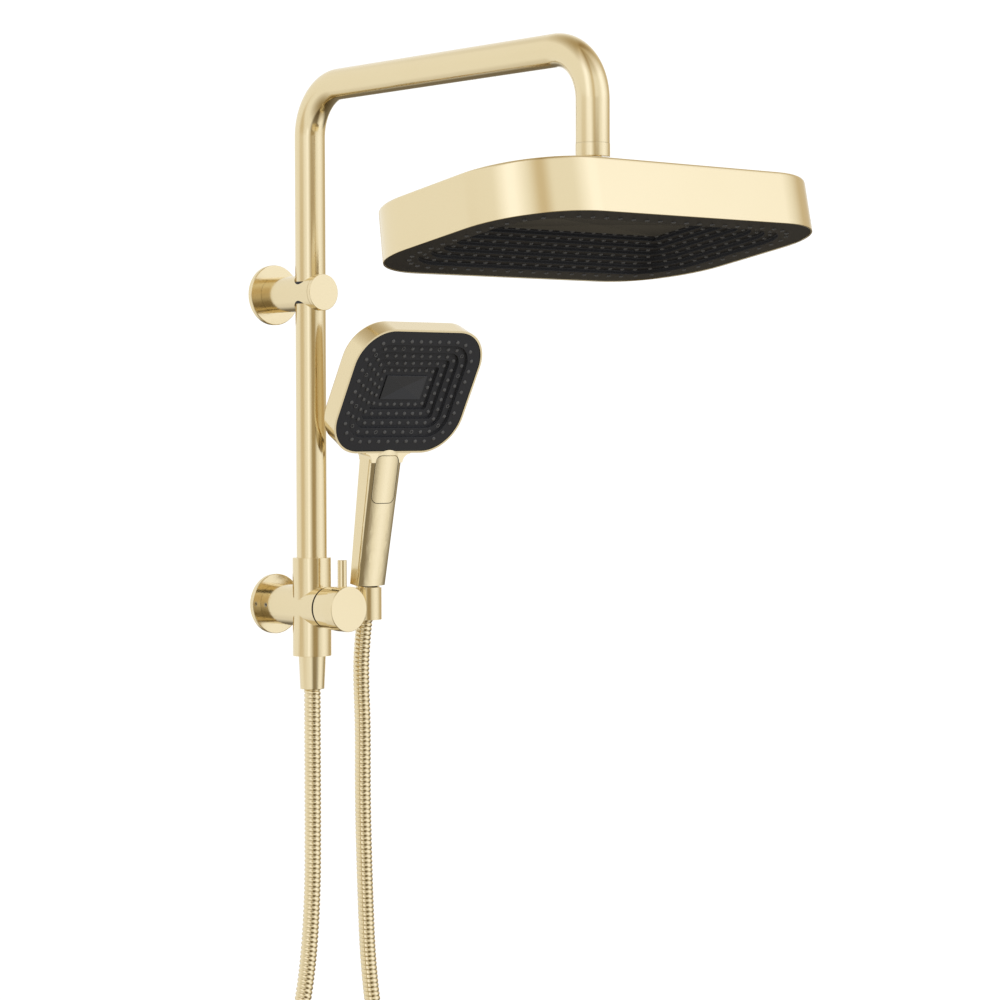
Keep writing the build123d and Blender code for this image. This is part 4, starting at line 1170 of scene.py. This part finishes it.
# ---------------------------------------------------------------- overhead spray
@dataclass
class OverheadSpray:
    """Tilting overhead spray on its ball joint.

    Attributes:
        drop: Ball centre to the rim plane.
        half: Half sizes of the rim.
        corner: Corner radius of the rim.
        height: Height of the casing.
        draft: Draft of its sides, in degrees.
        shoulder: Rounding between its sides and top.
        lip: Width of the rim.
        wall: Thickness of the casing.
        cap: Inset of the rectangle that closes its top.
        boss: Radius of the boss round the ball's nut.
        boss_top: Top of the boss, from the ball's centre.
        face_lift: Rim plane to the face.
        ball_radius: Radius of the ball.
        ball_steps: Stretches in the ball's outline.
        neck: Radius of the stem's neck.
        collar: Radius, foot and top of the stem's collar, from the ball's centre.
        plug: Radius and top of the stem inside the down tube.
        nut: (radius, height) points round the nut that traps the ball.
        nut_ease: Rounding of the nut's edges.
        rim_ease: Rounding of the rim.
        ease: Rounding of the boss and the stem.
    """

    drop: float = 53.0 * MM
    half: Pair = (158.9 * MM, 100.8 * MM)
    corner: float = 67.7 * MM
    height: float = 38.7 * MM
    draft: float = 1.6
    shoulder: float = 3.0 * MM
    lip: float = 1.3 * MM
    wall: float = 2.0 * MM
    cap: float = 60.0 * MM
    boss: float = 13.6 * MM
    boss_top: float = -3.0 * MM
    face_lift: float = 0.5 * MM
    ball_radius: float = 11.0 * MM
    ball_steps: int = 24
    neck: float = 6.5 * MM
    collar: tuple[float, float, float] = (12.7 * MM, 14.95 * MM, 24.75 * MM)
    plug: Pair = (11.25 * MM, 38.75 * MM)
    nut: tuple[Pair, ...] = (
        (13.65 * MM, -10.9 * MM),
        (17.0 * MM, -10.9 * MM),
        (17.0 * MM, 7.5 * MM),
        (10.4 * MM, 7.5 * MM),
        (9.9 * MM, 6.0 * MM),
        (13.65 * MM, -2.9 * MM),
    )
    nut_ease: float = 0.9 * MM
    rim_ease: float = 0.35 * MM
    ease: float = 0.4 * MM

    def __post_init__(self) -> None:
        """Take the ball's centre and the casing's lean from the frame."""
        spin = joint("overhead_spin")
        self.ball = Place(Vector(spin["pos_m"]), Vector(spin["axis"]).normalized())
        self.rim = self.ball.moved(-self.drop)

    def casing(self) -> None:
        """Loft the casing, one closed shell with an inner wall, and its boss."""
        lean = math.tan(math.radians(self.draft))
        top, ceiling = self.height, self.height - self.wall
        outer = eased([(self.cap, top), (top * lean, top), (0.0, 0.0)], self.shoulder, 6)
        wall = [(self.lip, 0.0), (self.lip + ceiling * lean, ceiling), (self.cap, ceiling)]
        inner = eased(wall, self.wall, 2)
        edge = eased([outer[-2], (0.0, 0.0), (self.lip, 0.0), inner[1]], self.rim_ease, 3)
        bm = bmesh.new()
        add_lofted(bm, self.rim, self.half, self.corner, [*outer[:-1], *edge[1:-1], *inner[1:]])
        foot = self.height - self.drop - self.wall
        boss = [(0.0, foot), (self.boss, foot), (self.boss, self.boss_top), (0.0, self.boss_top)]
        add_turned(bm, self.ball, eased(boss, self.ease), 72)
        piece = settled(closed_mesh(bm, "overhead_casing", 45.0))
        fitted(piece, "satin_gold_plating", "overhead", "head_shell")

    def swivel(self) -> None:
        """Turn the ball's stem and the nut that traps the ball."""
        upright = Place(self.ball.origin, Vector((0, 0, 1)))
        meet = math.asin(self.neck / self.ball_radius)
        turns = [step / self.ball_steps * (math.pi - meet) for step in range(self.ball_steps + 1)]
        arc = [(self.ball_radius * math.sin(turn), -self.ball_radius * math.cos(turn)) for turn in turns]
        collar = [(self.neck, self.collar[1]), self.collar[:2], (self.collar[0], self.collar[2])]
        plug = [(self.plug[0], self.collar[2]), self.plug]
        profile = [*arc, *eased([arc[-1], *collar, *plug], self.ease)[1:], (0, self.plug[1])]
        fitted(turned("swivel_stem", upright, profile), "satin_gold", "root", "ball_stem")
        outline = eased([*self.nut, self.nut[0]], self.nut_ease)
        piece = turned("swivel_nut", self.ball, outline[:-1], looped=True)
        fitted(piece, PALETTE.turned_gold("swivel_nut_finish", self.ball), "overhead", "ball_nut")

    def build(self, rig: Rig) -> None:
        """Make the casing, the swivel and the spray face."""
        self.casing()
        self.swivel()
        SprayDish(
            name="head",
            body="overhead",
            place=self.rim.moved(self.face_lift),
            half=self.half,
            corner=self.corner,
            lip=self.lip,
            thick=2.0 * MM,
            rim=25.3 * MM,
            pitch=9.65 * MM,
            drop=2.9 * MM,
            ring=19.0 * MM,
            counts=(62, 58, 54, 50, 46, 42, 38),
        ).build(rig)


# ---------------------------------------------------------------- hand spray
@dataclass
class HandSpray:
    """Hand spray with its flat handle and push button.

    Attributes:
        centre: Distance out from the riser's axis and height of the rim's centre.
        pitch_down: Degrees that the face looks down.
        half: Half sizes of the rim.
        corner: Corner radius of the rim.
        face_lift: Rim plane to the face.
        shell_ease: Rounding of the shell's edges.
        button_ease: Rounding of the button's edges.
        spring_ease: Rounding of the spring's wire.
        spring_half: Half of a stretch along the button's push, only scaled into a reach that nothing uses.
    """

    centre: Pair = (57.95 * MM, 176.6 * MM)
    pitch_down: float = 28.4
    half: Pair = (67.3 * MM, 57.1 * MM)
    corner: float = 33.6 * MM
    face_lift: float = 0.4 * MM
    shell_ease: float = 0.5 * MM
    button_ease: float = 0.5 * MM
    spring_ease: float = 0.1 * MM
    spring_half: float = 1.2 * MM

    def spring(self) -> None:
        """Make the button's spring, a smoothed copy of the CAD spring, left on no body."""
        reach = Vector(joint("mode_button_push")["axis"]) * self.spring_half
        piece = refined("button_spring", self.spring_ease, "return_spring")
        fitted(piece, "bright_steel", None, "button_spring")
        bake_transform(piece)

    def build(self, rig: Rig) -> None:
        """Make the shell, the button and the spray face."""
        root = Vector(joint("spray_turn")["pos_m"])
        angle = math.radians(self.pitch_down)
        inward = Vector((0, math.cos(angle), math.sin(angle)))
        rim = Place(Vector((root.x, root.y - self.centre[0], self.centre[1])), inward)
        shell = refined("spray_shell", self.shell_ease, "handset_shell")
        fitted(shell, "satin_gold_plating", "hand_spray", "spray_shell")
        button = refined("spray_button", self.button_ease, "handset_button")
        fitted(button, "satin_gold_plating", "push_button", "spray_button")
        self.spring()
        SprayDish(
            name="spray",
            body="hand_spray",
            place=rim.moved(self.face_lift),
            half=self.half,
            corner=self.corner,
            lip=1.9 * MM,
            thick=1.4 * MM,
            rim=14.7 * MM,
            pitch=7.6 * MM,
            drop=2.15 * MM,
            ring=10.9 * MM,
            counts=(38, 34, 30, 26, 22),
            open_nozzles=(2, 5, 7, 10, 12, 15),
            ease=0.4 * MM,
            facet_thick=1.0 * MM,
        ).build(rig)


# ---------------------------------------------------------------- studio
@dataclass(frozen=True)
class Panel:
    """Flag or strip light hung in the light tent.

    Attributes:
        bearing: Its middle, in degrees from +Y towards +X.
        half: Half of its width in degrees.
        fade: Degrees over which it fades into the tent's wall.
        light: Its brightness, where the wall's is 1.
    """

    bearing: float
    half: float
    fade: float
    light: float

    def stops(self) -> list[Pair]:
        """(share of a turn, light) where it starts, is full, stops being full and ends."""
        reach = self.half + self.fade
        spread = ((-reach, 1.0), (-self.half, self.light), (self.half, self.light), (reach, 1.0))
        return [((self.bearing + shift) / 360, light) for shift, light in spread]


def wall_stops(panels: Sequence[Panel]) -> list[Pair]:
    """Stops round the tent's whole wall, for panels that are in order and don't overlap."""
    return [(0.0, 1.0), *(stop for panel in panels for stop in panel.stops()), (1.0, 1.0)]


@dataclass(frozen=True)
class Lamp:
    """Soft rectangular lamp.

    Attributes:
        name: Its name.
        at: Its place.
        size: Its sides.
        power: Its power in watts.
        aim: Where it points.
    """

    name: str
    at: tuple[float, float, float]
    size: Pair
    power: float
    aim: tuple[float, float, float] = (0.0, -0.2, 0.1)

    def hang(self) -> None:
        """Hang the lamp."""
        data = bpy.data.lights.new(self.name, "AREA")
        data.shape, data.size, data.size_y, data.energy = "RECTANGLE", *self.size, self.power
        lamp = linked(self.name, data)
        lamp.location = self.at
        lamp.visible_glossy = False
        lamp.rotation_euler = (Vector(self.aim) - Vector(self.at)).to_track_quat("-Z", "Y").to_euler()


@dataclass
class Studio:
    """Pale floor, soft light all round and the camera.

    Attributes:
        lens: Focal length in millimetres.
        camera_at: The camera's place.
        heading: Bearing that it looks along, in degrees from +Y towards +X.
        climb: Degrees that it looks up.
        roll: Degrees that it leans.
        floor_z: Height of the floor.
        floor_half: Half of the floor's side.
        backdrop: Brightness of the background that the camera sees.
        warm_red: Red gained by the dimmest light.
        warm_blue: Blue lost by the dimmest light.
        cool_red: Red lost by the brightest light.
        cool_blue: Blue gained by the brightest light.
        low_band: Heights from which the light changes from below to the horizon's.
        high_band: Heights from which it changes to the light above.
        low_warmth: Loss of light beyond which the light from below gets no warmer.
        near: Panels near the horizon.
        above: Panels higher up.
        below: Panels lower down.
        floor_light: Light straight down.
        roof_light: Light straight up.
        floor_fade: Height, from 0 straight down to 1 straight up, at which the floor's dimness ends.
        roof_fade: Height at which the roof's dimness starts.
        lamps: The lamps.
    """

    lens: float = 97.1
    camera_at: tuple[float, float, float] = (-1.3544, -1.8267, 0.1525)
    heading: float = 41.359
    climb: float = -1.670
    roll: float = -0.148
    floor_z: float = -1.0
    floor_half: float = 12.0
    backdrop: float = 1.1
    warm_red: float = 0.4
    warm_blue: float = 0.65
    cool_red: float = 0.1
    cool_blue: float = 0.35
    low_band: Pair = (-0.21, -0.08)
    high_band: Pair = (0.07, 0.16)
    low_warmth: float = 0.4
    near: tuple[Panel, ...] = (
        Panel(bearing=82, half=10, fade=28, light=0.52),
        Panel(bearing=142, half=8, fade=14, light=1.15),
        Panel(bearing=198, half=10, fade=17, light=0.35),
        Panel(bearing=236, half=3, fade=8, light=1.3),
        Panel(bearing=286, half=9, fade=20, light=0.66),
    )
    above: tuple[Panel, ...] = (
        Panel(bearing=82, half=10, fade=20, light=0.6),
        Panel(bearing=142, half=6, fade=24, light=1.35),
        Panel(bearing=215, half=3, fade=12, light=0.66),
        Panel(bearing=252, half=4, fade=18, light=1.35),
    )
    below: tuple[Panel, ...] = (
        Panel(bearing=60, half=38, fade=22, light=0.18),
        Panel(bearing=138, half=3, fade=15, light=1.2),
        Panel(bearing=190, half=18, fade=16, light=0.24),
    )
    floor_light: float = 0.28
    roof_light: float = 0.38
    floor_fade: float = 0.25
    roof_fade: float = 0.8
    lamps: tuple[Lamp, ...] = (
        Lamp("key", (-1.6, -1.4, 1.7), (0.9, 1.6), 22.0),
        Lamp("fill", (1.7, -1.5, 0.8), (0.5, 1.6), 9.0),
    )

    def camera(self) -> None:
        """Place the camera."""
        yaw, pitch, roll = map(math.radians, (self.heading, self.climb, self.roll))
        ahead = Vector((math.sin(yaw) * math.cos(pitch), math.cos(yaw) * math.cos(pitch), math.sin(pitch)))
        level = Vector((math.cos(yaw), -math.sin(yaw), 0))
        upward = level.cross(ahead)
        right = level * math.cos(roll) + upward * math.sin(roll)
        up = upward * math.cos(roll) - level * math.sin(roll)
        data = bpy.data.cameras.new("studio_camera")
        data.lens, data.sensor_width = self.lens, 36.0
        data.clip_start, data.clip_end = 0.05, 60.0
        camera = linked("studio_camera", data)
        axes = Matrix((right, up, -ahead)).transposed()
        camera.matrix_world = Matrix.Translation(self.camera_at) @ axes.to_4x4()
        bpy.context.scene.camera = camera

    def floor(self) -> None:
        """Lay the pale floor."""
        half = self.floor_half
        corners = [(-half, -half), (half, -half), (half, half), (-half, half)]
        mesh = bpy.data.meshes.new("floor")
        mesh.from_pydata([(x, y, self.floor_z) for x, y in corners], [], [(0, 1, 2, 3)])
        floor = linked("floor", mesh)
        pale = bpy.data.materials.new("pale_floor")
        pale.use_nodes = True
        graph = Graph(pale.node_tree)
        glow = {"Emission Color": (1, 1, 1, 1), "Emission Strength": 0.35}
        shader = graph.add(
            "ShaderNodeBsdfPrincipled", {"Base Color": (0.9, 0.9, 0.9, 1), "Roughness": 0.9, **glow}
        )
        graph.add("ShaderNodeOutputMaterial", {"Surface": shader.outputs[0]})
        mesh.materials.append(pale)
        floor.visible_glossy = floor.visible_diffuse = False

    def ramp(
        self, graph: Graph, place: bpy.types.NodeSocket, stops: Sequence[Pair], warmest: float = 1.0
    ) -> bpy.types.NodeSocket:
        """Light over a place from 0 to 1, warmer where it is dimmer.

        Args:
            graph: The world's graph.
            place: Socket with the place.
            stops: (place, light) stops.
            warmest: Loss of light beyond which it gets no warmer.

        Returns:
            The colour.
        """
        made = graph.add("ShaderNodeValToRGB", {0: place})
        elements = made.color_ramp.elements
        elements[0].position, elements[1].position = stops[0][0], stops[-1][0]
        for position, _ in stops[1:-1]:
            elements.new(position)
        for element, (_, level) in zip(elements, stops):
            dim, bright = min(max(0.0, 1.0 - level), warmest), max(0.0, level - 1.0)
            red = level * (1 + self.warm_red * dim - self.cool_red * bright)
            blue = level * (1 - self.warm_blue * dim + self.cool_blue * bright)
            element.color = (red, level, blue, 1)
        return made.outputs[0]

    def world(self) -> None:
        """Light tent: white all round, with darker panels at a few bearings, above and below."""
        world = bpy.data.worlds.new("light_tent")
        bpy.context.scene.world = world
        world.use_nodes = True
        graph = Graph(world.node_tree)
        towards = graph.add("ShaderNodeTexCoord").outputs["Generated"]
        parts = graph.add("ShaderNodeSeparateXYZ", {0: towards}).outputs
        bearing = graph.maths("ARCTAN2", parts["X"], parts["Y"])
        turn = graph.maths("FRACT", graph.maths("ADD", graph.maths("DIVIDE", bearing, 2 * math.pi), 1.0))
        height = graph.maths("MULTIPLY_ADD", parts["Z"], 0.5, 0.5)
        light = self.ramp(graph, turn, wall_stops(self.below), self.low_warmth)
        for panels, (starts, ends) in ((self.near, self.low_band), (self.above, self.high_band)):
            span = {"Value": parts["Z"], "From Min": starts, "From Max": ends}
            share = graph.add("ShaderNodeMapRange", span).outputs[0]
            light = graph.mixed(share, light, self.ramp(graph, turn, wall_stops(panels)))
        floor, roof = (0.0, self.floor_light), (1.0, self.roof_light)
        upright = (floor, (self.floor_fade, 1.0), (self.roof_fade, 1.0), roof)
        light = graph.mixed(1.0, light, self.ramp(graph, height, upright), "MULTIPLY")
        seen = graph.add("ShaderNodeLightPath").outputs["Is Camera Ray"]
        shade = graph.mixed(seen, light, (self.backdrop, self.backdrop, self.backdrop, 1))
        tent = graph.add("ShaderNodeBackground", {"Color": shade, "Strength": 1.0})
        graph.add("ShaderNodeOutputWorld", {"Surface": tent.outputs[0]})

    def build(self) -> None:
        """Set up the view transform, floor and lights."""
        bpy.context.scene.view_settings.view_transform = "Standard"
        self.floor()
        self.world()
        for lamp in self.lamps:
            lamp.hang()


# ---------------------------------------------------------------- the whole column
ROSE_BORES = {"lower_rose": 13.1 * MM, "upper_rose": 9.1 * MM}
TEE_NUT_FOOT = -68.1 * MM  # height of the foot of the tee's nut
HANDSET_NUT_FOOT = -13.2 * MM  # foot of the hand spray's nut, from the turning centre
HANDSET_NUT = {"foot_radius": 8.7 * MM, "top_radius": 9.95 * MM, "thread": 8.25 * MM, "length": 28.7 * MM}


def build_hose_nuts(riser_y: float) -> None:
    """Make the nut at the tee and the slimmer nut at the hand spray."""
    tee = Place(Vector((0, riser_y, TEE_NUT_FOOT)), Vector((0, 0, 1)))
    ConeNut("hose_nut_at_tee", "hose_nut_lower", "root", tee).build()
    centre, lift = Vector(joint("spray_turn")["pos_m"]), Vector(joint("spray_lift")["axis"])
    handset = Place(centre, lift.normalized()).moved(HANDSET_NUT_FOOT)
    ConeNut("hose_nut_at_handset", "hose_nut_upper", "hose_end", handset, **HANDSET_NUT).build()


def main() -> None:
    """Build the shower column round its frame."""
    logging.basicConfig(level=logging.INFO, format="%(name)s: %(message)s")
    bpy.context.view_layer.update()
    studio = Studio()
    studio.camera()
    PALETTE.dress_frame()
    riser_low, riser_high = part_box("riser_tube")
    riser_y = riser_high.y - (riser_high.x - riser_low.x) / 2
    ShowerHose().build(riser_y)
    for node, bore in ROSE_BORES.items():
        WallRose(node + "_plate", node, bore).build()
    Riser().build()
    DiverterTee().build()
    build_hose_nuts(riser_y)
    rig = SprayDish.nozzle_rig()
    OverheadSpray().build(rig)
    HandSpray().build(rig)
    studio.build()


if __name__ == "__main__":
    main()
